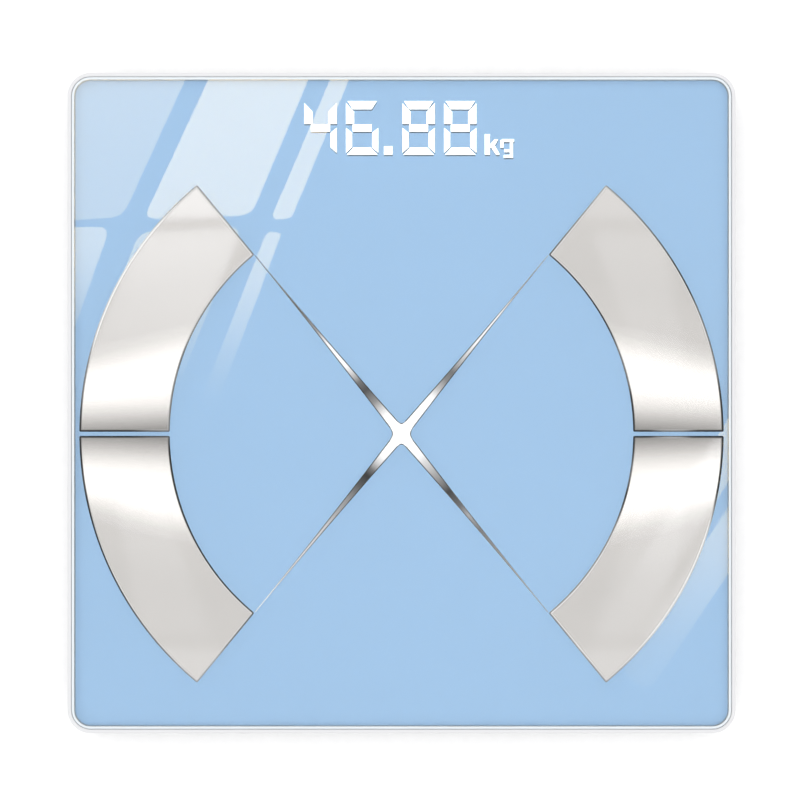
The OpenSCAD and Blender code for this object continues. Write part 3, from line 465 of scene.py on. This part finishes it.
# outline in the quadrant of +X and +Y about the pattern's middle
def electrodeOutline(outer, inset):
    corner = max(electrodeLook["corner"] - inset, 0.12 * mm)
    near, far = outer - electrodeLook["band"] + inset, outer - inset
    cut = electrodeLook["gap"] / 2 + inset
    end = electrodeLook["endAngle"]
    arc, turn = electrodeLook["arcSteps"], electrodeLook["cornerSteps"]

    def at(radius, angle):
        return radius * math.cos(math.radians(angle)), radius * math.sin(math.radians(angle))

    inside, outside = near + corner, far - corner
    startIn, startOut = (math.degrees(math.asin((cut + corner) / r)) for r in (inside, outside))
    endIn, endOut = (end - math.degrees(math.asin((inset + corner) / r)) for r in (inside, outside))
    points = fan(0, 0, far, startOut, endOut, arc)
    points += fan(*at(outside, endOut), corner, endOut, end + 90, turn)
    points += fan(*at(inside, endIn), corner, end + 90, endIn + 180, turn)
    points += fan(0, 0, near, endIn, startIn, arc)
    points += fan(*at(inside, startIn), corner, startIn + 180, 270, turn)
    points += fan(*at(outside, startOut), corner, -90, startOut, turn)
    return points


# steel whose colour carries a painted reflection: brighter and darker bands by distance from the gap,
# slanting outward
def electrodeFinish():
    material, maker, place = newFinish("electrodeSteel")
    x, y = axes(place)[:2]
    up = y - electrodeLook["centre"][1]
    slant = 0.05 + 0.23 * abs(up).step(8 * mm, 30 * mm)
    along = abs(up) + slant * (x.reach(up) - 96 * mm)  # distance from the gap, slanting outward
    paintedSheen = paintedReflectionRamp(along, electrodeLook["tones"], electrodeLook["paintedSheen"])
    lines = place.noise(0.9 * mm, 2, (1, 0.03, 1))
    return closeFinish(material, maker, Base_Color=paintedSheen.times(electrodeLook["warm"]), Metallic=1.0,
                       Roughness=electrodeLook["rough"] + 0.02 * lines, Coat_Weight=1.0,
                       Coat_Roughness=electrodeLook["coatRough"])


# the pressed edge with a painted reflection: painted dark near the gap, lighter towards the tips and in
# places, and a painted highlight along the stretches of two electrodes that face the window
def paintedEdgeFinish(name, dark, bright, near, far, glint=0.85):
    material, maker, place = newFinish(name)
    x, y = axes(place)[:2]
    up = y - electrodeLook["centre"][1]
    turn = (0.55 * place.noise(34 * mm, 1).step(0.5, 0.66) + abs(up).step(near, far)).least(1)
    lit = (0 - x * up).step(0.001, 0.003) * abs(up).stripe(58 * mm, 54 * mm, 20 * mm)
    lit = lit * (0.35 + 0.65 * x.reach(up).step(100 * mm, 112 * mm))
    fine = place.noise(0.4 * mm, 2)
    tone = lit.blend(turn.blend(dark, bright), grey(glint))
    return closeFinish(material, maker, Base_Color=tone, Metallic=1.0, Roughness=0.24 + 0.1 * fine)


def buildElectrodes():
    # the face with its painted reflection, the painted dark outline and the painted bright line
    finish = [electrodeFinish(),
              paintedEdgeFinish("paintedDarkEdge", grey(0.03), grey(0.26), 55 * mm, 105 * mm, 0.42),
              paintedEdgeFinish("paintedBrightEdge", grey(0.12), grey(0.62), 18 * mm, 60 * mm)]
    for side, sideName in ((-1, "left"), (1, "right")):
        for end, endName in ((1, "toe"), (-1, "heel")):
            node = "electrode_" + endName + "_" + sideName
            low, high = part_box(node)
            outer = abs(low.x if side < 0 else high.x)
            base = high.z - electrodeLook["thickness"]
            shape = bmesh.new()
            rings = []
            for inset, height in electrodeLook["edge"]:
                outline = electrodeOutline(outer, inset * mm)
                placed = [(side * x, electrodeLook["centre"][1] + end * y) for x, y in outline]
                rings.append((placed, base + height * mm))
            loft(shape, rings, True, electrodeLook["paintedEdgeFinish"])
            at = studPlace(node, side, end)
            stud, pitch = electrodeLook["stud"], electrodeLook["threadPitch"]
            thread = [(0.9 * mm, low.z), (stud - 0.3 * mm, low.z)]
            for i in range(electrodeLook["threadTurns"]):
                z = low.z + pitch / 2 + i * pitch
                thread += [(stud, z), (stud - electrodeLook["threadDepth"], z + pitch / 2)]
            thread += [(stud, low.z + 4 * mm), (stud, base + 0.1 * mm)]
            lathe(shape, *at, thread, 24)
            letPass(makePiece(endName + "Electrode" + sideName.capitalize(), shape, finish, "platform",
                              [node], 40))
    print("electrodes built")


# the thin steel cross between the electrodes
crossTrim = {
    "width": 4.4 * mm,
    "tip": 0.3 * mm,
    "taper": 1.6,
    "hub": 5 * mm,  # where the arms leave the rounded middle
    "reach": 89.8 * mm,
    "rim": 0.16 * mm,  # height of the edge under the ridge
    "outline": 0.34 * mm,  # width of the edge that carries the painted dark outline
    "stations": 60,
    "hollowSteps": 9,
    "paintedSheen": 0.86,
    # painted reflection: how bright each arm's colour is painted, by mm from the middle: +X +Y, -X +Y, -X
    # -Y, +X -Y
    "tones": [
        [(0, 1), (17, 1), (22, 0.5), (27, 0.22), (31, 0.16), (37, 0.45), (46, 0.8), (60, 0.8), (70, 0.4),
         (80, 0.14), (92, 0.3)],
        [(0, 1), (8, 1), (12, 0.6), (16, 0.26), (22, 0.08), (26, 0.16), (30, 0.5), (35, 0.9), (44, 0.9),
         (52, 0.3), (62, 0.12), (92, 0.3)],
        [(0, 1), (10, 1), (14, 0.6), (18, 0.16), (21, 0.04), (26, 0.1), (33, 0.26), (40, 0.36), (46, 0.5),
         (60, 0.6), (92, 0.6)],
        [(0, 1), (9, 1), (14, 0.62), (20, 0.36), (24, 0.22), (29, 0.06), (36, 0.14), (41, 0.35), (48, 0.18),
         (65, 0.3), (92, 0.5)],
    ],
}


# steel whose colour carries a painted reflection, brighter and darker along each arm
def trimFinish():
    material, maker, place = newFinish("trimSteel")
    x, y = axes(place)[:2]
    up = y - electrodeLook["centre"][1]
    away = x.reach(up)
    arms = [paintedReflectionRamp(away, tones, crossTrim["paintedSheen"]) for tones in crossTrim["tones"]]
    right, upper = x.step(-0.1 * mm, 0.1 * mm), up.step(-0.1 * mm, 0.1 * mm)
    paintedSheen = upper.blend(right.blend(arms[2], arms[3]), right.blend(arms[1], arms[0]))
    lines = place.noise(0.2 * mm, 2)
    return closeFinish(material, maker, Base_Color=paintedSheen, Metallic=1.0, Roughness=0.18 + 0.06 * lines)


def buildCross():
    low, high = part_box("cross_trim")
    base = low.z
    rim, ridge = base + crossTrim["rim"], high.z
    cx, cy = electrodeLook["centre"]
    angle = math.radians(electrodeLook["endAngle"])
    headings = [angle, math.pi - angle, math.pi + angle, 2 * math.pi - angle]

    widest, tip = crossTrim["width"], crossTrim["tip"]

    def half(distance):
        share = 1 - distance / crossTrim["reach"]
        return (tip + (widest - tip) * share ** crossTrim["taper"]) / 2

    start = crossTrim["hub"]
    shape = bmesh.new()
    arms = []
    for heading in headings:
        along, across = (math.cos(heading), math.sin(heading)), (-math.sin(heading), math.cos(heading))
        rows = []
        for i in range(crossTrim["stations"] + 1):
            share = (i / crossTrim["stations"]) ** 1.3
            distance = start + (crossTrim["reach"] - start) * share
            w = half(distance)
            crest = base + (ridge - base) * (0.55 + 0.45 * min(1, w / half(start)))
            inner = w - min(crossTrim["outline"], 0.5 * w)
            shoulder = rim + (crest - rim) * (1 - inner / w)
            section = [(-w, base), (-w, rim), (-inner, shoulder), (0, crest), (inner, shoulder), (w, rim),
                       (w, base)]
            row = []
            for off, z in section:
                row.append(shape.verts.new((cx + along[0] * distance + across[0] * off,
                                            cy + along[1] * distance + across[1] * off, z)))
            rows.append(row)
        for a, b in zip(rows, rows[1:]):
            for j in range(7):
                k = (j + 1) % 7
                shape.faces.new((a[j], a[k], b[k], b[j])).material_index = 0 if j in (2, 3) else 1
        shape.faces.new(rows[-1])
        arms.append(rows[0])
    peak = shape.verts.new((cx, cy, ridge))
    foot = shape.verts.new((cx, cy, base))
    steps = crossTrim["hollowSteps"]
    for n, this in enumerate(arms):
        after = arms[(n + 1) % 4]
        # the hollow between two arms bends about the point where their edges meet
        middle = (headings[n] + headings[(n + 1) % 4] + (2 * math.pi if n == 3 else 0)) / 2
        spread = half(start) / math.sin(middle - headings[n])
        meeting = Vector((cx + spread * math.cos(middle), cy + spread * math.sin(middle)))
        first, last = this[6].co.xy, after[0].co.xy
        ridges, rims, bases = [this[4]], [this[5]], [this[6]]
        for i in range(1, steps):
            t = i / steps
            spot = first * (1 - t) ** 2 + meeting * (2 * t * (1 - t)) + last * t ** 2
            inward = (Vector((cx, cy)) - spot).normalized() * crossTrim["outline"]
            ridges.append(shape.verts.new((*(spot + inward), rim + (ridge - rim) * 0.18)))
            rims.append(shape.verts.new((*spot, rim)))
            bases.append(shape.verts.new((*spot, base)))
        ridges.append(after[2])
        rims.append(after[1])
        bases.append(after[0])
        for i in range(steps):
            shape.faces.new((bases[i], bases[i + 1], rims[i + 1], rims[i])).material_index = 1
            shape.faces.new((rims[i], rims[i + 1], ridges[i + 1], ridges[i])).material_index = 1
            shape.faces.new((ridges[i], ridges[i + 1], peak))
            shape.faces.new((bases[i + 1], bases[i], foot))
        for a, b in zip(this[2:4], this[3:5]):
            shape.faces.new((a, b, peak))
        shape.faces.new((this[6], this[0], foot))
    # the ridge's steel with its painted reflection, and the edges with a painted dark outline and a faint
    # painted highlight
    finish = [trimFinish(), paintedEdgeFinish("trimEdge", grey(0.04), grey(0.16), 20 * mm, 60 * mm, 0.16)]
    letPass(makePiece("crossTrim", shape, finish, "platform", ["cross_trim"], 12))
    print("cross trim built")


# lit bars of the digits, and a painted shadow below them: a dark copy of the bars, shifted down and aside,
# lying just under the lit bars
displayLook = {
    "barRaise": 0.02 * mm,
    "shadeRaise": 0.01 * mm,
    "shadeShift": (0.12 * mm, -0.56 * mm),
    "glow": 1.25,
    "bar": tint(246, 249, 252),
    "glowTones": (tint(255, 255, 255), tint(247, 250, 254)),
    # colour of the painted shadow under the bars
    "window": tint(56, 82, 112),
}


# the bars of the digits, with their tops lifted and all of them shifted
def barCopy(name, source, material, lift, shift, stands=()):
    shape = bmesh.new()
    shape.from_mesh(nodes[source].data)
    low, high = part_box(source)
    middle = (low.z + high.z) / 2
    for vert in shape.verts:
        vert.co.x += shift[0]
        vert.co.y += shift[1]
        if vert.co.z > middle:
            vert.co.z += lift
    return makePiece(name, shape, material, "platform", stands, 30)


def buildDisplay():
    lit, maker, place = newFinish("litBars")
    cloud = place.noise(3 * mm, 2).step(0.3, 0.7)
    closeFinish(lit, maker, Base_Color=displayLook["bar"], Roughness=0.4,
                Emission_Color=cloud.blend(*displayLook["glowTones"]),
                Emission_Strength=displayLook["glow"])
    # painted shadow: a dark tone for the shifted copy of the bars
    shade = moulded("windowEdge", displayLook["window"], 0.5, 0.2 * mm, 0.004 * mm)
    barCopy("litBars", "lit_segments", lit, displayLook["barRaise"], (0, 0), ["lit_segments"])
    barCopy("windowEdges", "lit_segments", shade, displayLook["shadeRaise"], displayLook["shadeShift"])
    print("display built")


# the print under the glass
filmLook = {
    "blue": tint(166, 208, 252),
    "border": tint(150, 178, 208),
    "borderWidth": 0.4 * mm,
    "corner": 6.25 * mm,
    "deepTone": 0.975,
}


def paintFilm():
    material, maker, place = newFinish("blueFilm")
    x, y = axes(place)[:2]
    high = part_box("print_film")[1]
    corner = filmLook["corner"]
    # distance in from the rounded outline
    outX = (abs(x) - (high.x - corner)).most(0)
    outY = (abs(y) - (high.y - corner)).most(0)
    inside = (high.x - abs(x)).least(high.y - abs(y)).least(corner - outX.reach(outY))
    border = 1 - inside.step(filmLook["borderWidth"] * 0.6, filmLook["borderWidth"] * 1.2)
    fine = place.noise(0.12 * mm, 3)
    slow = place.noise(60 * mm, 2)
    speck = place.cells(0.55 * mm).step(0.0, 0.12)
    deeper = dimmed(filmLook["blue"], filmLook["deepTone"])
    ink = (0.5 * fine + 0.3 * slow + 0.2 * speck).step(0.3, 0.7).blend(deeper, filmLook["blue"])
    closeFinish(material, maker, Base_Color=border.blend(ink, filmLook["border"]),
                Roughness=0.36 + 0.08 * fine, Normal=fine.bump(0.002 * mm, 0.3))
    paint(material, "print_film")


# tray, feet, door and button
shellLook = {
    "white": tint(207, 207, 209),
    "grain": 0.4 * mm,
    "undersideGrain": 0.9 * mm,
    "worn": 0.94,
    "foot": tint(226, 227, 229),
    "retainer": tint(218, 219, 221),
    "door": tint(229, 230, 232),
    "button": tint(150, 154, 160),
}

corners = ["back_left", "back_right", "front_left", "front_right"]


def paintShell():
    material, maker, place = newFinish("whiteShell")
    facing = maker.node("ShaderNodeNewGeometry", {}, {}, "Normal")
    down = axes(facing)[2] * -1
    under = down.step(0.4, 0.8)
    fine = place.noise(shellLook["grain"], 4)
    spark = place.cells(shellLook["undersideGrain"])
    slow = place.noise(40 * mm, 3)
    scuff = place.noise(1.6 * mm, 4, (1, 0.12, 1)).step(0.6, 0.78) * under
    worn = dimmed(shellLook["white"], shellLook["worn"])
    tone = (0.6 * slow + 0.4 * scuff).step(0.35, 0.8).blend(shellLook["white"], worn)
    height = fine * (1 - under) + (0.5 * fine + 0.7 * spark) * under
    closeFinish(material, maker, Base_Color=tone, Roughness=0.34 + 0.14 * under + 0.06 * fine,
                Normal=height.bump(0.025 * mm, 0.5))
    paint(material, "tray")
    paint(moulded("footPlastic", shellLook["foot"], 0.4), *["foot_" + corner for corner in corners])
    paint(moulded("retainerPlastic", shellLook["retainer"], 0.46, 0.6 * mm),
          *["foot_retainer_" + corner for corner in corners])
    paint(moulded("doorPlastic", shellLook["door"], 0.42, 0.7 * mm, 0.03 * mm), "battery_door")
    paint(moulded("buttonPlastic", shellLook["button"], 0.38, 0.3 * mm), "unit_button")


padLook = {
    "rubber": tint(92, 95, 98),
    "grooves": [5.0, 7.6, 10.2, 12.8],  # mm from the middle
    "grooveHalf": 0.45,
    "grooveDepth": 0.6,
    "chamfer": 0.5,
    "bore": 2.2,  # radius of the dimple in the middle, mm
    "sides": 96,
}


def buildPads():
    finish = moulded("padRubber", padLook["rubber"], 0.72, 0.22 * mm, 0.03 * mm, 0.1)
    for corner in corners:
        low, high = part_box("foot_pad_" + corner)
        x, y = (low.x + high.x) / 2, (low.y + high.y) / 2
        outer = (high.x - low.x) / 2
        chamfer, bore = padLook["chamfer"] * mm, padLook["bore"] * mm
        profile = [(bore, high.z), (outer, high.z), (outer, low.z + chamfer),
                   (outer - 0.3 * chamfer, low.z + 0.3 * chamfer), (outer - chamfer, low.z)]
        half, depth = padLook["grooveHalf"] * mm, padLook["grooveDepth"] * mm
        for groove in reversed(padLook["grooves"]):
            profile += [(groove * mm + half, low.z), (groove * mm + half * 0.6, low.z + depth),
                        (groove * mm - half * 0.6, low.z + depth), (groove * mm - half, low.z)]
        profile += [(bore + 0.7 * mm, low.z), (bore, low.z + 0.9 * mm)]
        shape = bmesh.new()
        lathe(shape, x, y, profile, padLook["sides"])
        name = "".join(part.capitalize() for part in corner.split("_"))
        makePiece("pad" + name, shape, finish, "foot_" + corner, ["foot_pad_" + corner], 35)
    print("pads built")


# board, batteries, wiring and small parts
boardLook = {
    "mask": tint(24, 92, 52),
    "track": tint(44, 128, 78),
    "pitch": 2.4 * mm,
    "bend": 3 * mm,  # how far the tracks step aside
    "drift": 7 * mm,  # size of the fields of tracks
}


def paintBoard():
    material, maker, place = newFinish("boardMask")
    x, y = axes(place)[:2]
    drift = place.noise(boardLook["drift"], 1)

    def tracks(across, along):
        cell = (across + boardLook["bend"] * along.step(-0.05, 0.05)) / boardLook["pitch"]
        fraction = cell.maths("FRACT", cell)
        return fraction.stripe(0.5, 0.26, 0.06)

    pattern = (tracks(x, y) * drift.step(0.5, 0.52)).most(tracks(y, x) * (1 - drift.step(0.47, 0.49)))
    weave = place.noise(0.5 * mm, 2)
    closeFinish(material, maker, Base_Color=pattern.blend(boardLook["mask"], boardLook["track"]),
                Roughness=0.28 + 0.1 * weave, Normal=(pattern + 0.3 * weave).bump(0.03 * mm, 0.5))
    paint(material, "main_board")


batteryLook = {
    "label": tint(30, 104, 74),
    "band": tint(206, 148, 52),
    "can": tint(196, 196, 198),
    "seam": tint(232, 232, 226),
    "bandAt": 8 * mm,  # from the button end
    "bandWidth": 9 * mm,
    "seamAt": 13.4 * mm,
}


# a label with a band at the button end, and bare metal at both ends
def paintBatteries():
    for name in ("battery_front", "battery_middle", "battery_back"):
        low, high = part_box(name)
        facing = 1 if name == "battery_middle" else -1
        material, maker, place = newFinish(name + "Wrap")
        x = axes(place)[0]
        fromEnd = (high.x - x) if facing > 0 else (x - low.x)
        toEnd = (high.x - low.x) - fromEnd
        wrapped = fromEnd.step(1.4 * mm, 1.7 * mm) * toEnd.step(1.0 * mm, 1.3 * mm)
        band = fromEnd.stripe(batteryLook["bandAt"], batteryLook["bandWidth"], 0.2 * mm)
        seam = fromEnd.stripe(batteryLook["seamAt"], 0.5 * mm, 0.1 * mm)
        grain = place.noise(0.6 * mm, 3)
        label = band.blend(batteryLook["label"], batteryLook["band"])
        lined = seam.blend(label, batteryLook["seam"])
        closeFinish(material, maker, Base_Color=wrapped.blend(batteryLook["can"], lined),
                    Metallic=0.9 - 0.75 * wrapped, Roughness=0.26 + 0.08 * grain,
                    Normal=grain.bump(0.006 * mm, 0.4))
        paint(material, name)


def paintInside():
    paint(moulded("adhesiveFilm", tint(188, 192, 196), 0.6, 0.3 * mm, 0.006 * mm), "electrode_adhesive")
    letPass(nodes["electrode_adhesive"])
    paint(moulded("foamTape", tint(44, 45, 47), 0.9, 0.25 * mm, 0.05 * mm, 0.25), "bonding_tape")
    paint(drawnMetal("cellSteel", tint(198, 200, 204), 0.34, (1, 9, 1), 0.4 * mm, 0.006 * mm),
          *["load_cell_" + corner for corner in corners])
    paint(moulded("gaugePotting", tint(240, 240, 234), 0.5, 1.2 * mm, 0.12 * mm), "gauge_potting")
    paint(drawnMetal("tinnedLug", tint(214, 212, 206), 0.3), "electrode_lugs")
    paint(drawnMetal("zincNut", tint(204, 205, 208), 0.36, (4, 4, 1)), "electrode_nuts")
    paint(drawnMetal("zincScrew", tint(196, 197, 200), 0.34, (3, 3, 1)), "retainer_screws", "board_screws")
    paint(moulded("reflectorWhite", tint(244, 244, 242), 0.5, 0.5 * mm), "display_reflector")
    paint(moulded("lightPipe", tint(250, 250, 246), 0.3, 0.8 * mm, 0.01 * mm), "display_light_pipes")
    paint(moulded("ledPhosphor", tint(246, 226, 120), 0.45, 0.1 * mm, 0.01 * mm), "display_leds")
    paint(moulded("connectorNylon", tint(236, 232, 218), 0.5, 0.4 * mm), "lead_connectors")
    paint(moulded("passiveTan", tint(178, 148, 112), 0.5, 0.2 * mm, 0.01 * mm, 0.3), "board_passives")
    paint(drawnMetal("crystalCan", tint(212, 212, 214), 0.22), "crystal")
    paint(drawnMetal("switchCan", tint(176, 178, 182), 0.34), "tact_switch")
    paint(moulded("plungerBlack", tint(38, 38, 40), 0.4, 0.3 * mm), "switch_plunger")
    paint(drawnMetal("springWire", tint(206, 206, 208), 0.24, (1, 1, 1)), "battery_springs")
    paint(drawnMetal("contactPlate", tint(214, 210, 200), 0.28, (1, 1, 9)), "battery_contacts")
    sleeves = {
        "wires_red": (178, 32, 30),
        "wires_white": (232, 231, 226),
        "wires_black": (30, 30, 32),
        "electrode_leads": (222, 180, 46),
        "battery_lead_black": (30, 30, 32),
        "battery_lead_red": (178, 32, 30),
    }
    for name, colour in sleeves.items():
        paint(moulded(name + "Sleeve", tint(*colour), 0.36, 0.5 * mm, 0.01 * mm, 0.12), name)


chipLook = {
    "body": tint(34, 34, 36),
    "dot": tint(96, 96, 98),
    "leg": tint(206, 206, 204),
    "legLength": 1.1 * mm,
    "dotInset": 2.1 * mm,
}


# the controller: black body with a lighter dot at its first pin, tinned legs below
def paintChip():
    low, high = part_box("controller_chip")
    material, maker, place = newFinish("controllerChip")
    x, y = axes(place)[:2]
    long, inset = chipLook["legLength"], chipLook["dotInset"]
    sideways = abs(x - (low.x + high.x) / 2) - (high.x - low.x) / 2 + long
    endways = abs(y - (low.y + high.y) / 2) - (high.y - low.y) / 2 + long
    leg = sideways.most(endways).step(0, 0.05 * mm)
    dot = 1 - (x - (low.x + inset)).reach(y - (high.y - inset)).step(0.3 * mm, 0.4 * mm)
    fine = place.noise(0.12 * mm, 3)
    body = dot.blend(chipLook["body"], chipLook["dot"])
    closeFinish(material, maker, Base_Color=leg.blend(body, chipLook["leg"]), Metallic=leg,
                Roughness=0.55 - 0.2 * leg + 0.08 * fine, Normal=fine.bump(0.008 * mm, 0.4))
    paint(material, "controller_chip")


# floor and light
studio = {
    "floor": tint(250, 250, 250),
    "floorShade": tint(248, 248, 248),
    "floorReach": 8,
    "zenith": 1.42,
    "horizon": 0.75,
    "skyHeight": 0.85,  # where the sky is as bright as at the zenith
    "panelWatts": 12,
    "panelSize": 1.6,
    # name, place and share of the watts
    "panels": [("keyPanel", (-1.7, 1.5, 1.9), 1.0), ("fillPanel", (1.9, -1.2, 1.6), 0.5)],
}


def buildStudio():
    material, maker, place = newFinish("paleFloor")
    fine = place.noise(4 * mm, 3)
    tone = fine.step(0.3, 0.7).blend(studio["floor"], studio["floorShade"])
    closeFinish(material, maker, Base_Color=tone, Roughness=0.85)
    mesh = bpy.data.meshes.new("paleFloor")
    reach = studio["floorReach"]
    mesh.from_pydata([(-reach, -reach, 0), (reach, -reach, 0), (reach, reach, 0), (-reach, reach, 0)], [],
                     [(0, 1, 2, 3)])
    mesh.materials.append(material)
    floor = bpy.data.objects.new("paleFloor", mesh)
    scene.collection.objects.link(floor)
    world = bpy.data.worlds.new("softRoom")
    scene.world = world
    world.use_nodes = True
    world.node_tree.nodes.clear()
    maker = Socket(world.node_tree)
    height = axes(maker.node("ShaderNodeTexCoord", {}, {}, "Generated"))[2]
    sky = height.step(0.0, studio["skyHeight"]).blend(grey(studio["horizon"]), grey(studio["zenith"]))
    light = maker.node("ShaderNodeBackground", {}, {"Color": sky, "Strength": 1.0})
    output = maker.tree.nodes.new("ShaderNodeOutputWorld")
    maker.tree.links.new(light.out, output.inputs["Surface"])
    for name, spot, share in studio["panels"]:
        data = bpy.data.lights.new(name, "AREA")
        data.energy = studio["panelWatts"] * share
        data.size = studio["panelSize"]
        lamp = bpy.data.objects.new(name, data)
        lamp.location = spot
        lamp.rotation_euler = (Vector((0, 0, 0)) - Vector(spot)).to_track_quat("-Z", "Y").to_euler()
        scene.collection.objects.link(lamp)
    print("studio ready")


# window panes above the glass, whose reflections lie on it
windowLight = {
    "height": 3.2,  # above the glass
    "coatShare": 0.042,  # of light that plain glass sends back
    "onPrint": (1.37, 1.0, 0.42),  # colour of the light over the blue print
    "onSteel": (1.0, 1.0, 1.03),
    "rounding": 5 * mm,
    "step": 20 * mm,  # between the levels of the panes for the print, for the steel and of the patches
    # corners on the glass in mm, then the light there at the top and at the foot
    "panes": [
        ([(-136, 136), (-79.5, 136), (-108.5, 72.5), (-136, 70.5)], 0.155, 0.13),
        ([(-70.5, 136), (-32, 136), (-58.5, 73), (-100.5, 71.5)], 0.27, 0.25),
        ([(-23.5, 136), (-16.2, 136), (-43, 71.5), (-51, 71.5)], 0.25, 0.24),
        ([(-136, 68.5), (-113.4, 68.5), (-127, 30), (-136, 12)], 0.19, 0.03),
        ([(-102, 66.5), (-62, 68.5), (-92, -6), (-127, 4)], 0.19, 0.0),
        ([(-52.6, 66.5), (-46.4, 66.5), (-74, -6), (-81, -6)], 0.21, 0.0),
        ([(134, 5.4), (134, -19.2), (88.5, -95), (73, -95)], 0.2, 0.02),
        ([(134, -30), (134, -56.4), (96.5, -112), (85.4, -105)], 0.17, 0.02),
    ],
    # fainter ones that only the steel shows, mirrored to the other three electrodes
    "patches": [
        ([(-84, 106), (-50, 106), (-58.5, 73), (-100.5, 71.5)], 0.07, 0.07),
        ([(-101.5, 66.5), (-74, 67.5), (-96, 8), (-112, 14)], 0.06, 0.03),
    ],
}


# an outline with its corners rounded
def softOutline(points, radius, steps=6):
    made = []
    count = len(points)
    for i in range(count):
        before, here, after = (Vector(points[(i + k) % count]) for k in (-1, 0, 1))
        toBefore, toAfter = (before - here).normalized(), (after - here).normalized()
        reach = min(radius, 0.4 * (before - here).length, 0.4 * (after - here).length)
        first, last = here + toBefore * reach, here + toAfter * reach
        for k in range(steps + 1):
            t = k / steps
            made.append(first * (1 - t) ** 2 + here * (2 * t * (1 - t)) + last * t ** 2)
    return made


# one pane above the glass, whose reflection falls inside the given corners
def addPane(name, outline, top, foot, colour, receivers, level):
    share = windowLight["height"] / cameraSetup["height"]
    aim = Vector(cameraSetup["aim"])
    points = softOutline([Vector(corner) * mm for corner in outline], windowLight["rounding"])
    spread = [p + (p - aim) * share for p in points]
    material, maker, place = newFinish(name)
    heights = [p.y for p in spread]
    fade = axes(place)[1].step(min(heights), max(heights))
    strength = (foot + (top - foot) * fade) / windowLight["coatShare"]
    light = maker.node("ShaderNodeCombineXYZ", {}, {i: strength * part for i, part in enumerate(colour)})
    glow = maker.node("ShaderNodeEmission", {}, {"Color": light, "Strength": 1.0})
    clear = maker.node("ShaderNodeBsdfTransparent")  # what lies behind still shows through
    closeTree(maker, maker.node("ShaderNodeAddShader", {}, {0: glow, 1: clear}))
    mesh = bpy.data.meshes.new(name)
    z = glassTop + windowLight["height"] + level * windowLight["step"]
    mesh.from_pydata([(p.x, p.y, z) for p in spread], [], [tuple(range(len(spread)))])
    mesh.materials.append(material)
    pane = bpy.data.objects.new(name, mesh)
    scene.collection.objects.link(pane)
    pane.visible_camera = False
    pane.visible_diffuse = False
    pane.visible_transmission = False
    pane.visible_shadow = False
    pane.light_linking.receiver_collection = receivers


def buildWindow():
    glassSide = bpy.data.collections.new("glassPieces")
    steelSide = bpy.data.collections.new("steelPieces")
    for piece in bpy.data.objects:
        if piece.name == "glassPane":
            glassSide.objects.link(piece)
        elif piece.name == "crossTrim" or "Electrode" in piece.name:
            steelSide.objects.link(piece)
    for number, (outline, top, foot) in enumerate(windowLight["panes"]):
        addPane("printPane%d" % number, outline, top, foot, windowLight["onPrint"], glassSide, 0)
        addPane("steelPane%d" % number, outline, top, foot, windowLight["onSteel"], steelSide, 1)
    middle = electrodeLook["centre"][1] / mm
    for mirror, (across, along) in enumerate([(-1, 1), (1, -1), (-1, -1)]):
        for number, (outline, top, foot) in enumerate(windowLight["patches"]):
            turned = [(across * x, middle + along * (y - middle)) for x, y in outline]
            addPane("patch%d%d" % (mirror, number), turned, top, foot, windowLight["onSteel"], steelSide, 2)
    print("window ready")


buildGlass()
buildElectrodes()
buildCross()
buildDisplay()
paintFilm()
paintShell()
buildPads()
paintBoard()
paintBatteries()
paintInside()
paintChip()
print("pieces finished")
buildStudio()
buildWindow()
